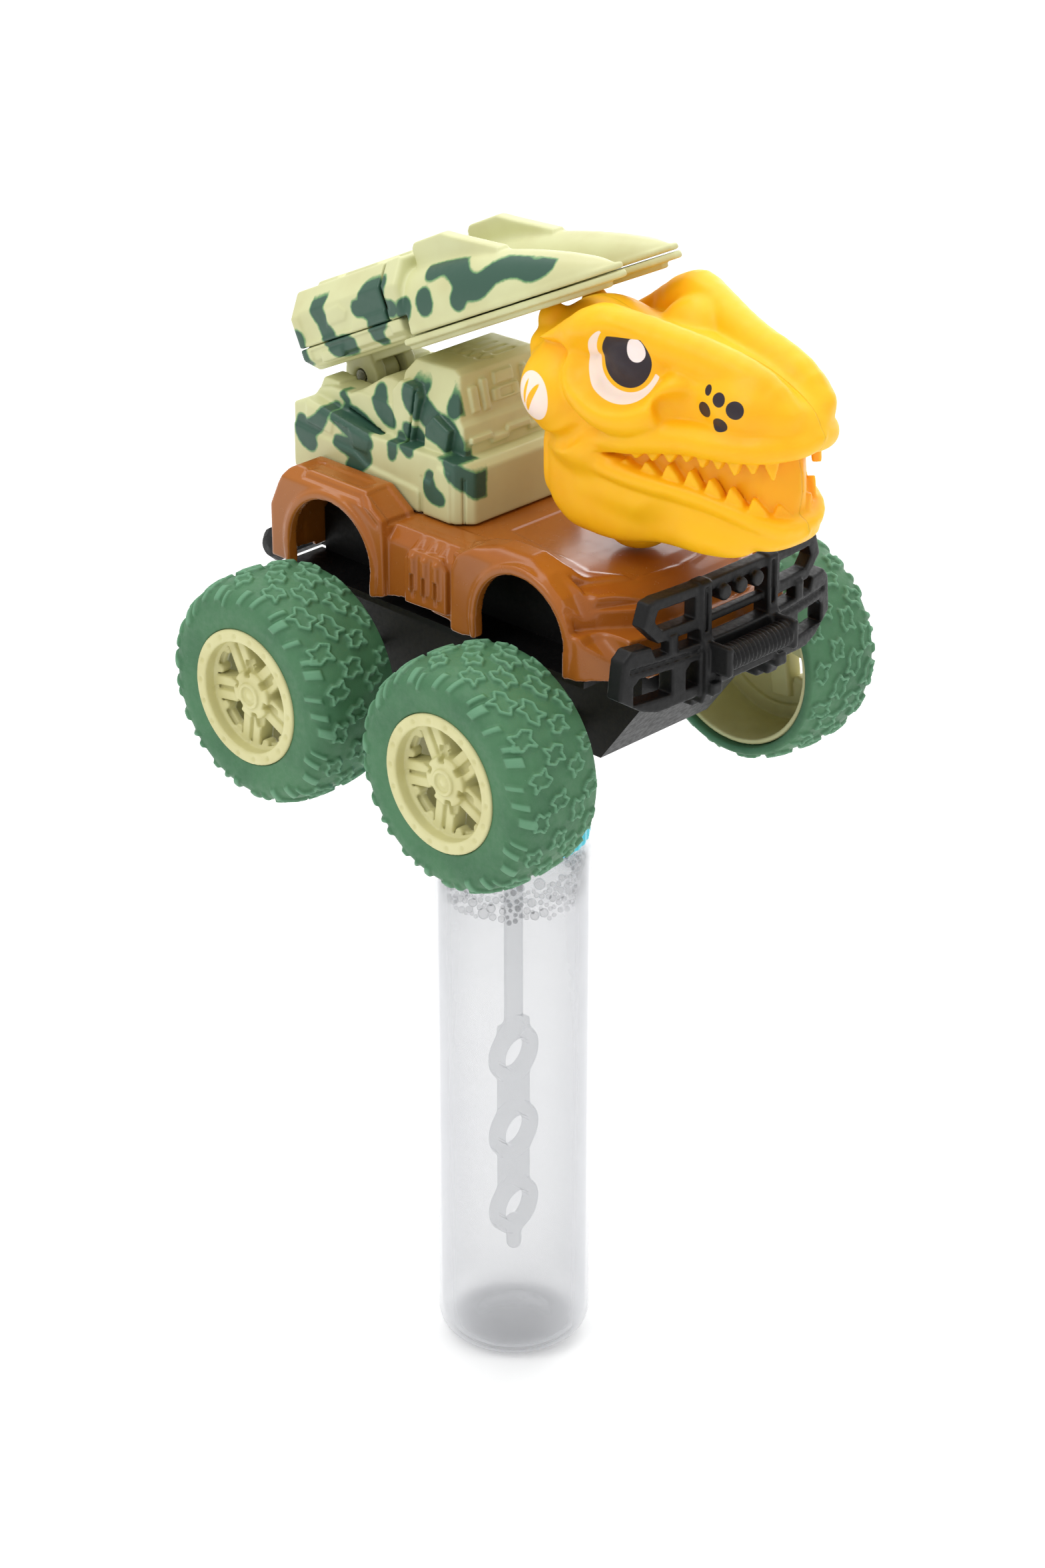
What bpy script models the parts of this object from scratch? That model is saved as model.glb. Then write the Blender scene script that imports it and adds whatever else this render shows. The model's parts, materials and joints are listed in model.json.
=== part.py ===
"""Bubble machine: a dinosaur-headed monster truck that stands on a bubble-solution bottle.

Frame: +X is the truck's nose, +Y its left side, +Z up. The origin is the centre of the bottle's base.
Shapes are drawn in millimetres in the truck's own frame, whose origin lies midway between the two axles
at axle height, and are shifted to the frame above when a mesh is made.
"""
import bpy
import bmesh
from math import cos, pi, radians, sin
from mathutils import Matrix, Vector

MM = 0.001

# Driving sizes, in millimetres.
WHEELBASE = 62.0
AXLE_HEIGHT = 183.5          # axle above the bottle's base
BOTTLE_BEHIND_MIDDLE = 4.2   # bottle axis behind the middle of the wheelbase
LENGTH_MIDDLE = 13.7         # middle of the whole length, ahead of the middle of the wheelbase
GAP = 0.3                    # clearance between touching pieces
RUNNING = 0.06               # radial clearance of a shaft in its hole

BOTTLE_R = 18.8
BOTTLE_WALL = 1.0
NECK_R = 14.2
NECK_TOP = -33.0
SHOULDER = -45.4
CAP_R = 18.2
CAP_TOP = -27.5
CAP_BOTTOM = -46.0
PLUG_R = 9.0
PLUG_TOP = 5.0
ROD_R = 2.5
WAND_HEAD_TOP = -95.0
WAND_HEAD_BOTTOM = -160.0
WAND_HEAD_R = 7.4
RING_COUNT = 3

RIM_FACE = 58.9              # outer face of a rim from the centre plane
RIM_R = 16.0
TYRE_INNER_EDGE = 35.4       # inner edge of a tyre from the centre plane
DRUM_R = 22.4
DRUM_WALL = 1.3
TYRE_R = 26.2
LUG_HEIGHT = 1.0
LUG_COUNT = 14
SPOKES = 5
SPOKE_TURN = radians(18.0)
ROUND_SEGMENTS = 24
HUB_R = 5.2
AXLE_R = 1.25

TUB_HALF = 17.5
TUB_FLOOR = -5.0
TUB_TOP = 34.0
LEDGE_HALF = 28.4
LEDGE_TOP = 18.6
WALL = 1.6
BODY_HALF = 32.0
ARCH_R = 13.2
ARCH_Z = 26.0
REAR_BAR_Z = 19.4

POD_HALF = 20.3
HINGE = (-46.5, 58.5)        # x and z of the launcher's hinge
LAUNCHER_PITCH = 26.0        # nose-up angle at rest, in degrees
LAUNCHER_HALF = 17.0
LAUNCHER_SPLIT = 10.0        # height of the joint between the launcher's two shells
ROCKET_CENTRES = (-8.6, 8.6)
HINGE_PIN_R = 1.5

SHAFT_R = 0.75               # motor's idler and flywheel shafts
GEAR_MODULE = 0.5
AXLE_TEETH = 24
PINION_TEETH = 8
GEAR_DISTANCE = GEAR_MODULE * (AXLE_TEETH + PINION_TEETH) / 2

TRUCK_ORIGIN = Vector((-LENGTH_MIDDLE, 0.0, AXLE_HEIGHT))

MATERIALS = {}


def material(name, colour, roughness, metallic=0.0, alpha=1.0):
    """Return the named Principled material, making it the first time."""
    if name in MATERIALS:
        return MATERIALS[name]
    made = bpy.data.materials.new(name)
    made.use_nodes = True
    shader = made.node_tree.nodes["Principled BSDF"]
    shader.inputs["Base Color"].default_value = (*colour, 1.0)
    shader.inputs["Roughness"].default_value = roughness
    shader.inputs["Metallic"].default_value = metallic
    shader.inputs["Alpha"].default_value = alpha
    MATERIALS[name] = made
    return made


# ---------------------------------------------------------------- mesh helpers

def add_prism(bm, outline, low, high, axis="Y"):
    """Add a closed prism: a 2-D outline swept between two positions along an axis."""
    def place(a, b, along):
        if axis == "Y":
            return (a, along, b)
        if axis == "Z":
            return (a, b, along)
        return (along, a, b)
    near = [bm.verts.new(place(a, b, low)) for a, b in outline]
    far = [bm.verts.new(place(a, b, high)) for a, b in outline]
    count = len(outline)
    bm.faces.new(near)
    bm.faces.new(list(reversed(far)))
    for i in range(count):
        j = (i + 1) % count
        bm.faces.new((near[j], near[i], far[i], far[j]))
    return near + far


def add_box(bm, low, high):
    """Add an axis-aligned box between two corners."""
    outline = [(low[0], low[1]), (high[0], low[1]), (high[0], high[1]), (low[0], high[1])]
    return add_prism(bm, outline, low[2], high[2], "Z")


def add_lathe(bm, profile, segments, axis="Z", centre=(0.0, 0.0, 0.0), closed=False):
    """Turn a profile of (radius, along) points round an axis; a radius of 0 is a pole."""
    def place(radius, along, angle):
        a = radius * cos(angle)
        b = radius * sin(angle)
        if axis == "Z":
            point = (a, b, along)
        elif axis == "Y":
            point = (b, along, a)
        else:
            point = (along, a, b)
        return [point[k] + centre[k] for k in range(3)]
    rings = []
    for radius, along in profile:
        if radius < 1e-6:
            rings.append([bm.verts.new(place(0.0, along, 0.0))] * segments)
        else:
            turns = [2 * pi * i / segments for i in range(segments)]
            rings.append([bm.verts.new(place(radius, along, turn)) for turn in turns])
    pairs = list(zip(rings, rings[1:]))
    if closed:
        pairs.append((rings[-1], rings[0]))
    for first, second in pairs:
        for i in range(segments):
            j = (i + 1) % segments
            corners = []
            for vert in (first[i], first[j], second[j], second[i]):
                if vert not in corners:
                    corners.append(vert)
            if len(corners) > 2:
                bm.faces.new(corners)


def add_cylinder(bm, radius, low, high, segments, axis="Z", centre=(0.0, 0.0, 0.0)):
    """Add a solid cylinder."""
    add_lathe(bm, [(0.0, low), (radius, low), (radius, high), (0.0, high)], segments, axis, centre)


def add_loft(bm, rings):
    """Skin a row of equal-length rings of points and cap both ends."""
    skin = [[bm.verts.new(point) for point in ring] for ring in rings]
    for first, second in zip(skin, skin[1:]):
        count = len(first)
        for i in range(count):
            j = (i + 1) % count
            bm.faces.new((first[i], first[j], second[j], second[i]))
    bm.faces.new(list(reversed(skin[0])))
    bm.faces.new(skin[-1])


def turned(bm, matrix, verts=None):
    """Apply a matrix to all or some of a mesh's points."""
    bmesh.ops.transform(bm, matrix=matrix, verts=verts or bm.verts)


def make(name, bm, look, origin=(0.0, 0.0, 0.0), smooth=None):
    """Turn a mesh in truck millimetres into an object whose origin is at the given truck point."""
    bmesh.ops.recalc_face_normals(bm, faces=bm.faces)
    base = Vector(origin)
    for vert in bm.verts:
        vert.co = (vert.co - base) * MM
    mesh = bpy.data.meshes.new(name)
    bm.to_mesh(mesh)
    bm.free()
    made = bpy.data.objects.new(name, mesh)
    made.location = (base + TRUCK_ORIGIN) * MM
    mesh.materials.append(look)
    bpy.context.scene.collection.objects.link(made)
    if smooth:
        mesh.shade_smooth()
        mesh.set_sharp_from_angle(angle=radians(smooth))
    return made


def combine(target, other, operation):
    """Apply an exact Boolean of another object to a target object and remove the other."""
    modifier = target.modifiers.new(operation.lower(), "BOOLEAN")
    modifier.operation = operation
    modifier.solver = "EXACT"
    modifier.object = other
    bpy.context.view_layer.update()
    shaped = target.evaluated_get(bpy.context.evaluated_depsgraph_get())
    mesh = bpy.data.meshes.new_from_object(shaped)
    target.modifiers.clear()
    target.data = mesh
    bpy.data.objects.remove(other)


def tool(bm, origin=(0.0, 0.0, 0.0)):
    """Make a throw-away object for a Boolean."""
    return make("tool", bm, MATERIALS["black plastic"], origin)


def cut(target, *shapes):
    """Subtract meshes from an object."""
    for bm in shapes:
        combine(target, tool(bm), "DIFFERENCE")


def join(target, *shapes):
    """Fuse meshes to an object."""
    for bm in shapes:
        combine(target, tool(bm), "UNION")


def prism_mesh(outline, low, high, axis="Y"):
    """A prism as a mesh of its own."""
    bm = bmesh.new()
    add_prism(bm, outline, low, high, axis)
    bmesh.ops.recalc_face_normals(bm, faces=bm.faces)
    return bm


def box_mesh(low, high):
    """A box as a mesh of its own."""
    bm = bmesh.new()
    add_box(bm, low, high)
    return bm


def cylinder_mesh(radius, low, high, segments, axis="Z", centre=(0.0, 0.0, 0.0)):
    """A cylinder as a mesh of its own."""
    bm = bmesh.new()
    add_cylinder(bm, radius, low, high, segments, axis, centre)
    return bm


def circle(radius, count, centre=(0.0, 0.0), start=0.0):
    """Points of a circle in a plane."""
    turns = [start + 2 * pi * i / count for i in range(count)]
    return [(centre[0] + radius * cos(t), centre[1] + radius * sin(t)) for t in turns]


def arc(radius, centre, first, last, count):
    """Points of an arc between two angles in degrees."""
    steps = [radians(first + (last - first) * i / (count - 1)) for i in range(count)]
    return [(centre[0] + radius * cos(t), centre[1] + radius * sin(t)) for t in steps]


# ---------------------------------------------------------------- bottle, cap and wand

def make_bottle():
    """Blow-moulded bottle with a rounded foot, a pushed-up base and an open neck."""
    floor = -AXLE_HEIGHT
    wall = BOTTLE_WALL
    outer = [(0.0, floor + 3.0), (6.0, floor + 2.2), (9.0, floor)]
    outer += arc(6.0, (BOTTLE_R - 6.0, floor + 6.0), -90, 0, 4)
    outer += arc(6.0, (BOTTLE_R - 6.0, SHOULDER - 7.0), 0, 70, 3)
    outer += [(NECK_R, SHOULDER - 0.6), (NECK_R, NECK_TOP)]
    inner = [(NECK_R - wall, NECK_TOP), (NECK_R - wall, SHOULDER - 2.0)]
    inner += arc(5.0, (BOTTLE_R - 6.0, SHOULDER - 7.0), 70, 0, 3)
    inner += arc(5.0, (BOTTLE_R - 6.0, floor + 6.2), 0, -90, 3)
    inner += [(9.0, floor + 1.4), (5.6, floor + 3.4), (0.0, floor + 4.2)]
    bm = bmesh.new()
    add_lathe(bm, outer + inner, ROUND_SEGMENTS, centre=(-BOTTLE_BEHIND_MIDDLE, 0.0, 0.0))
    make("bottle", bm, material("clear plastic", (0.86, 0.89, 0.9), 0.08, alpha=0.35), smooth=35)


def make_cap():
    """Screw cap whose round plug fills the socket under the truck; the seal lies inside it."""
    centre = (-BOTTLE_BEHIND_MIDDLE, 0.0, 0.0)
    inner_r = NECK_R + GAP
    under = NECK_TOP + 1.1 + GAP
    profile = [(ROD_R, under), (inner_r, under), (inner_r, CAP_BOTTOM), (CAP_R, CAP_BOTTOM)]
    profile += [(CAP_R, CAP_TOP - 1.2), (CAP_R - 1.2, CAP_TOP), (PLUG_R, CAP_TOP)]
    profile += [(PLUG_R, PLUG_TOP - 1.0), (PLUG_R - 1.0, PLUG_TOP), (PLUG_R - 2.0, PLUG_TOP)]
    profile += [(PLUG_R - 2.0, CAP_TOP + 1.0), (ROD_R, CAP_TOP + 1.0)]
    bm = bmesh.new()
    add_lathe(bm, profile, ROUND_SEGMENTS, centre=centre, closed=True)
    make("bottle_cap", bm, material("cyan plastic", (0.10, 0.66, 0.80), 0.3), smooth=35)
    bm = bmesh.new()
    seal = [(ROD_R + GAP, NECK_TOP + GAP), (NECK_R, NECK_TOP + GAP)]
    seal += [(NECK_R, NECK_TOP + 1.1), (ROD_R + GAP, NECK_TOP + 1.1)]
    add_lathe(bm, seal, 20, centre=centre, closed=True)
    make("cap_seal", bm, material("seal foam", (0.8, 0.8, 0.78), 0.8), smooth=35)


def make_wand():
    """Wand: a rod pressed into the cap and a flat blade with a row of blowing rings."""
    x = -BOTTLE_BEHIND_MIDDLE
    bm = bmesh.new()
    add_cylinder(bm, ROD_R - 0.02, WAND_HEAD_TOP - 2.0, CAP_TOP + 0.6, 12, centre=(x, 0.0, 0.0))
    wand = make("wand", bm, material("wand plastic", (0.72, 0.78, 0.84), 0.35, alpha=0.6))
    pitch = (WAND_HEAD_TOP - WAND_HEAD_BOTTOM) / RING_COUNT
    for k in range(RING_COUNT):
        z = WAND_HEAD_TOP - pitch * (k + 0.5)
        half = pitch / 2 + 0.4
        slim = WAND_HEAD_R * 0.72
        quarter = [(slim, half), (WAND_HEAD_R, half - 6.0), (WAND_HEAD_R, 6.0 - half), (slim, -half)]
        outline = quarter + [(-y, -b) for y, b in quarter]
        join(wand, prism_mesh([(y, z + b) for y, b in outline], x - 1.7, x + 1.7, "X"))
        cut(wand, prism_mesh(circle(WAND_HEAD_R - 2.2, 12, (0.0, z)), x - 3.0, x + 3.0, "X"))


# ---------------------------------------------------------------- wheels and axles

def wheel_frame(x, side):
    """Matrix from a wheel's own frame, whose outer face looks along +Y, to the truck frame."""
    return Matrix.Translation((x, 0.0, 0.0)) @ Matrix.Rotation(0.0 if side > 0 else pi, 4, "Z")


def make_rim(name, x, side):
    """Hollow drum rim with a flat outer ring, five bar spokes and a hub pressed on the axle."""
    inner_edge = TYRE_INNER_EDGE + 0.6
    drum = DRUM_R - DRUM_WALL
    profile = [(RIM_R - 2.6, RIM_FACE), (RIM_R, RIM_FACE), (RIM_R, 55.2), (DRUM_R, 52.4)]
    profile += [(DRUM_R, inner_edge), (drum, inner_edge), (drum, 51.6), (RIM_R - 2.6, 54.2)]
    bm = bmesh.new()
    add_lathe(bm, profile, ROUND_SEGMENTS, axis="Y", closed=True)
    turned(bm, wheel_frame(x, side))
    rim = make(name, bm, material("beige plastic", (0.72, 0.68, 0.36), 0.4), (x, 0.0, 0.0))
    for i in range(SPOKES):
        spoke = bmesh.new()
        add_box(spoke, (-2.5, 53.6, 3.0), (2.5, 56.8, RIM_R - 1.9))
        turned(spoke, wheel_frame(x, side) @ Matrix.Rotation(SPOKE_TURN + 2 * pi * i / SPOKES, 4, "Y"))
        combine(rim, tool(spoke), "UNION")
    hub = bmesh.new()
    boss = [(0.0, RIM_FACE), (3.4, RIM_FACE), (HUB_R, RIM_FACE - 1.2), (HUB_R, 50.0), (0.0, 50.0)]
    add_lathe(hub, boss, 14, axis="Y")
    turned(hub, wheel_frame(x, side))
    combine(rim, tool(hub), "UNION")
    bore = cylinder_mesh(AXLE_R + 0.01, 40.0, 56.4, 12, "Y")
    turned(bore, wheel_frame(x, side))
    cut(rim, bore)
    rim.data.shade_smooth()
    rim.data.set_sharp_from_angle(angle=radians(35))


def make_tyre(name, x, side):
    """Thin rubber sleeve with a row of raised lugs."""
    low = TYRE_INNER_EDGE
    drum = DRUM_R + 0.1
    profile = [(RIM_R + 0.1, 58.5), (22.6, 58.3), (25.2, 55.4), (TYRE_R, 49.0), (25.8, 40.0)]
    profile += [(24.65, low), (drum, low), (drum, 52.5), (RIM_R + 0.1, 55.3)]
    bm = bmesh.new()
    add_lathe(bm, profile, ROUND_SEGMENTS, axis="Y", closed=True)
    turned(bm, wheel_frame(x, side))
    tyre = make(name, bm, material("green rubber", (0.10, 0.23, 0.15), 0.8), (x, 0.0, 0.0), smooth=50)
    lugs = bmesh.new()
    for i in range(LUG_COUNT):
        before = len(lugs.verts)
        add_box(lugs, (-2.2, 42.0, TYRE_R - 1.6), (2.2, 54.4, TYRE_R + LUG_HEIGHT))
        lugs.verts.ensure_lookup_table()
        turned(lugs, Matrix.Rotation(2 * pi * (i + 0.5) / LUG_COUNT, 4, "Y"), lugs.verts[before:])
    turned(lugs, wheel_frame(x, side))
    join(tyre, lugs)


def make_axle(name, x):
    """Steel axle pin, pressed into both rims."""
    bm = cylinder_mesh(AXLE_R, -56.0, 56.0, 12, "Y", (x, 0.0, 0.0))
    make(name, bm, material("steel", (0.6, 0.6, 0.62), 0.3, 1.0), (x, 0.0, 0.0), smooth=40)


# ---------------------------------------------------------------- friction motor

def gear_outline(teeth, centre, phase):
    """Outline of a spur gear with straight-flanked teeth; phase is in tooth pitches."""
    pitch_r = GEAR_MODULE * teeth / 2
    tip = pitch_r + 0.8 * GEAR_MODULE
    root = pitch_r - 1.1 * GEAR_MODULE
    points = []
    for i in range(teeth):
        for offset, radius in ((-0.30, root), (-0.11, tip), (0.11, tip), (0.30, root)):
            turn = 2 * pi * (i + phase + offset) / teeth
            points.append((centre[0] + radius * cos(turn), centre[1] + radius * sin(turn)))
    return points


def make_motor():
    """Friction motor on the rear axle: case, axle gear, compound idler and flywheel."""
    steel = material("steel", (0.6, 0.6, 0.62), 0.3, 1.0)
    white = material("white nylon", (0.8, 0.8, 0.78), 0.45)
    axle = (-WHEELBASE / 2, 0.0)
    idler = (axle[0], axle[1] + GEAR_DISTANCE)
    wheel = (idler[0] + GEAR_DISTANCE, idler[1])

    def gear(name, teeth, centre, low, high, phase, shaft_r):
        bm = bmesh.new()
        add_prism(bm, gear_outline(teeth, centre, phase), low, high, "Y")
        made = make(name, bm, white, (centre[0], 0.0, centre[1]))
        cut(made, cylinder_mesh(shaft_r, low - 1.0, high + 1.0, 12, "Y", (centre[0], 0.0, centre[1])))
        return made

    # Half a pitch of offset puts a tooth of one gear in a gap of the other on the line of centres.
    gear("axle_gear", AXLE_TEETH, axle, -2.0, 1.0, 0.0, AXLE_R + 0.01)
    big = gear("idler_gear", AXLE_TEETH, idler, 2.0, 5.0, 0.0, SHAFT_R + 0.01)
    small = bmesh.new()
    add_prism(small, gear_outline(PINION_TEETH, idler, 0.5), -2.3, 2.5, "Y")
    combine(big, tool(small), "UNION")
    cut(big, cylinder_mesh(SHAFT_R + 0.01, -4.0, 6.0, 12, "Y", (idler[0], 0.0, idler[1])))
    bm = cylinder_mesh(SHAFT_R, -8.5, 8.5, 12, "Y", (idler[0], 0.0, idler[1]))
    make("idler_shaft", bm, steel, (idler[0], 0.0, idler[1]), smooth=40)
    bm = bmesh.new()
    add_prism(bm, gear_outline(PINION_TEETH, wheel, 0.5), 1.7, 5.3, "Y")
    flywheel = make("flywheel_pinion", bm, white, (wheel[0], 0.0, wheel[1]))
    cut(flywheel, cylinder_mesh(SHAFT_R + 0.01, 0.0, 7.0, 12, "Y", (wheel[0], 0.0, wheel[1])))
    bm = cylinder_mesh(SHAFT_R, -8.5, 8.5, 12, "Y", (wheel[0], 0.0, wheel[1]))
    make("flywheel_shaft", bm, steel, (wheel[0], 0.0, wheel[1]), smooth=40)
    bm = bmesh.new()
    bore = SHAFT_R + 0.01
    disc = [(bore, -7.8), (5.6, -7.8), (5.6, -2.6), (bore, -2.6)]
    add_lathe(bm, disc, ROUND_SEGMENTS, "Y", (wheel[0], 0.0, wheel[1]), closed=True)
    make("flywheel", bm, steel, (wheel[0], 0.0, wheel[1]), smooth=40)

    grey = material("grey plastic", (0.25, 0.25, 0.27), 0.5)
    low = (axle[0] - 7.0, -6.8)
    high = (wheel[0] + 6.0, idler[1] + 6.8)
    wall = 1.2
    for name, side in (("motor_case_left", 1), ("motor_case_right", -1)):
        far = side * 9.6
        bm = bmesh.new()
        ends = sorted((side * 0.15, far))
        add_box(bm, (low[0] - wall, ends[0], low[1] - wall), (high[0] + wall, ends[1], high[1] + wall))
        case = make(name, bm, grey)
        inner = sorted((side * -1.0, side * 8.2))
        cut(case, box_mesh((low[0], inner[0], low[1]), (high[0], inner[1], high[1])))
        for centre, radius in ((axle, AXLE_R), (idler, SHAFT_R), (wheel, SHAFT_R)):
            span = sorted((side * 7.0, side * 12.0))
            at = (centre[0], 0.0, centre[1])
            cut(case, cylinder_mesh(radius + RUNNING, span[0], span[1], 12, "Y", at))


# ---------------------------------------------------------------- chassis

def post_places():
    """Where the body's four screw posts stand."""
    return [(x, y) for x in (-43.6, 22.0) for y in (-11.5, 11.5)]


def make_chassis():
    """Black tub that carries the axles, the motor and the socket for the bottle cap's plug."""
    floor = TUB_FLOOR
    sump = floor - 5.0
    outline = [(-47.8, floor + 2.0), (-46.0, floor), (-41.4, floor), (-40.8, sump), (-14.6, sump)]
    outline += [(-13.8, floor), (40.0, floor), (52.0, 11.0), (52.0, 24.0), (44.0, TUB_TOP - 2.4)]
    outline += [(24.0, TUB_TOP), (-44.0, TUB_TOP), (-47.8, 29.0)]
    floor += WALL
    sump += WALL
    inner = [(-46.2, floor + 1.2), (-45.2, floor), (-40.2, floor), (-39.4, sump), (-15.5, sump)]
    inner += [(-15.4, floor), (39.4, floor), (50.4, 11.6), (50.4, 25.0)]
    inner += [(44.0, TUB_TOP + 1.0), (-46.2, TUB_TOP + 1.0)]
    bm = bmesh.new()
    add_prism(bm, outline, -TUB_HALF, TUB_HALF)
    tub = make("chassis_tub", bm, material("black plastic", (0.022, 0.022, 0.024), 0.45))
    cut(tub, prism_mesh(inner, -TUB_HALF + WALL, TUB_HALF - WALL))
    for side in (-1, 1):
        near, far = sorted((side * (TUB_HALF - 0.5), side * LEDGE_HALF))
        join(tub, box_mesh((-49.6, near, LEDGE_TOP - WALL), (45.0, far, LEDGE_TOP)))
    centre = (-BOTTLE_BEHIND_MIDDLE, 0.0, 0.0)
    join(tub, cylinder_mesh(PLUG_R + GAP + 1.8, -9.0, PLUG_TOP + 2.2, 32, "Z", centre))
    cut(tub, cylinder_mesh(PLUG_R + GAP, -12.0, PLUG_TOP + GAP, 32, "Z", centre))
    for x, radius in ((-WHEELBASE / 2, AXLE_R + RUNNING), (WHEELBASE / 2, 2.3 + 0.05)):
        cut(tub, cylinder_mesh(radius, -30.0, 30.0, 16, "Y", (x, 0.0, 0.0)))
    for x, y in post_places():
        cut(tub, cylinder_mesh(1.3, -9.0, 0.0, 12, "Z", (x, y, 0.0)))
    for side, name in ((1, "front_axle_bush_left"), (-1, "front_axle_bush_right")):
        bm = bmesh.new()
        profile = [(AXLE_R + RUNNING, 14.4), (2.3, 14.4), (2.3, TUB_HALF + 0.2), (3.2, TUB_HALF + 0.2),
                   (3.2, TUB_HALF + 1.2), (AXLE_R + RUNNING, TUB_HALF + 1.2)]
        add_lathe(bm, profile, 12, axis="Y", closed=True)
        turned(bm, wheel_frame(WHEELBASE / 2, side))
        make(name, bm, material("white nylon", (0.8, 0.8, 0.78), 0.45), smooth=35)
    bm = bmesh.new()
    bar = [(0.0, -27.0), (2.6, -26.6), (4.0, -25.0), (4.0, 25.0), (2.6, 26.6), (0.0, 27.0)]
    add_lathe(bm, bar, 16, "Y", (-57.0, 0.0, REAR_BAR_Z))
    bumper = make("rear_bumper", bm, material("black plastic", (0.022, 0.022, 0.024), 0.45), smooth=50)
    for y in (-11.0, 11.0):
        arm = ((-56.0, y - 2.0, REAR_BAR_Z - 2.8), (-47.8 - GAP, y + 2.0, REAR_BAR_Z + 1.0))
        join(bumper, box_mesh(*arm))


def make_body():
    """Brown body shell: fenders round four arches, a recess for the pod, and a stepped hood."""
    # Each station: x, middle z, shoulder half-width and z, flank half-width and top z, lower edge z.
    stations = [
        (-50.2, 33.0, 21.5, 33.0, 30.5, 30.0, 21.0),
        (-47.0, 36.6, 21.3, 42.4, 31.0, 38.4, 20.5),
        (-24.0, 36.8, 21.3, 43.6, BODY_HALF, 39.8, 20.5),
        (-17.5, 37.0, 21.3, 39.6, BODY_HALF, 37.2, 21.5),
        (-10.0, 37.4, 21.6, 38.2, 30.6, 35.0, 22.0),
        (4.0, 37.9, 22.0, 38.4, 30.6, 35.4, 21.0),
        (12.0, 38.0, 22.4, 39.6, BODY_HALF, 36.2, 19.6),
        (24.0, 37.9, 22.4, 40.4, BODY_HALF, 38.8, 19.4),
        (36.0, 37.4, 22.4, 38.4, BODY_HALF, 35.6, 19.2),
        (45.0, 35.6, 22.0, 34.0, BODY_HALF - 0.4, 30.2, 18.8),
        (51.5, 33.6, 20.0, 31.0, 27.4, 27.0, 18.4),
        (56.0, 31.0, 18.0, 28.6, 24.0, 24.6, 18.2),
    ]
    bm = bmesh.new()
    rings = []
    for x, mid, half, shoulder, flank, flank_top, low in stations:
        fold = 0.55 * half + 0.45 * flank
        side = [(half - 0.5, mid), (half, shoulder), (fold, 0.5 * (shoulder + flank_top) + 0.6)]
        side += [(flank - 0.6, flank_top), (flank, flank_top - 2.5), (flank, low)]
        ring = [(x, y, z) for y, z in side]
        ring += [(x, -y, z) for y, z in reversed(side)]
        rings.append(ring)
    add_loft(bm, rings)
    body = make("body_shell", bm, material("brown plastic", (0.42, 0.15, 0.03), 0.22))
    rings = []
    for x, mid, half, shoulder, flank, flank_top, low in stations:
        inset = x + (WALL if x < -49.0 else -WALL if x > 55.0 else 0.0)
        raised = shoulder > mid + 1.0
        fold = 0.55 * half + 0.45 * flank
        side = [(half + (0.7 if raised else -0.9), mid - WALL), (half + 0.7, shoulder - WALL)]
        side += [(fold, 0.5 * (shoulder + flank_top) - 1.2), (flank - 2.0, flank_top - 1.6)]
        side += [(flank - WALL, flank_top - 3.2), (flank - WALL, 5.0)]
        ring = [(inset, y, z) for y, z in side]
        ring += [(inset, -y, z) for y, z in reversed(side)]
        rings.append(ring)
    hollow = bmesh.new()
    add_loft(hollow, rings)
    cut(body, hollow)
    for x in (-WHEELBASE / 2, WHEELBASE / 2 - 1.0):
        arch = [(x + ARCH_R, 5.0)] + arc(ARCH_R, (x, ARCH_Z), 0, 180, 15) + [(x - ARCH_R, 5.0)]
        for low, high in ((-40.0, -24.6), (24.6, 40.0)):
            cut(body, prism_mesh(arch, low, high))
    for x, y in post_places():
        top = 36.6 if x < 0 else 37.0
        join(body, cylinder_mesh(2.4, TUB_FLOOR + WALL + 2.0, top, 12, "Z", (x, y, 0.0)))
        cut(body, cylinder_mesh(1.0, -9.0, 5.0, 10, "Z", (x, y, 0.0)))
    join(body, cylinder_mesh(7.6, 36.6, 43.0, 20, "Z", (34.0, 0.0, 0.0)))
    for side in (-1, 1):
        low, high = sorted((side * 29.8, side * 31.6))
        vent = [(-8.0, 23.5), (4.6, 22.6), (4.6, 33.0), (2.0, 35.0), (-6.4, 35.0), (-8.0, 33.4)]
        join(body, prism_mesh(vent, low, high))


def make_screw(name, x, y, head_z, length):
    """Self-tapping screw, head down."""
    bm = bmesh.new()
    profile = [(0.0, head_z - 1.1), (1.9, head_z - 1.1), (1.9, head_z - 0.1), (0.8, head_z)]
    profile += [(0.8, head_z + length), (0.0, head_z + length + 0.6)]
    add_lathe(bm, profile, 12, centre=(x, y, 0.0))
    make(name, bm, material("steel", (0.6, 0.6, 0.62), 0.3, 1.0), smooth=35)


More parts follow.
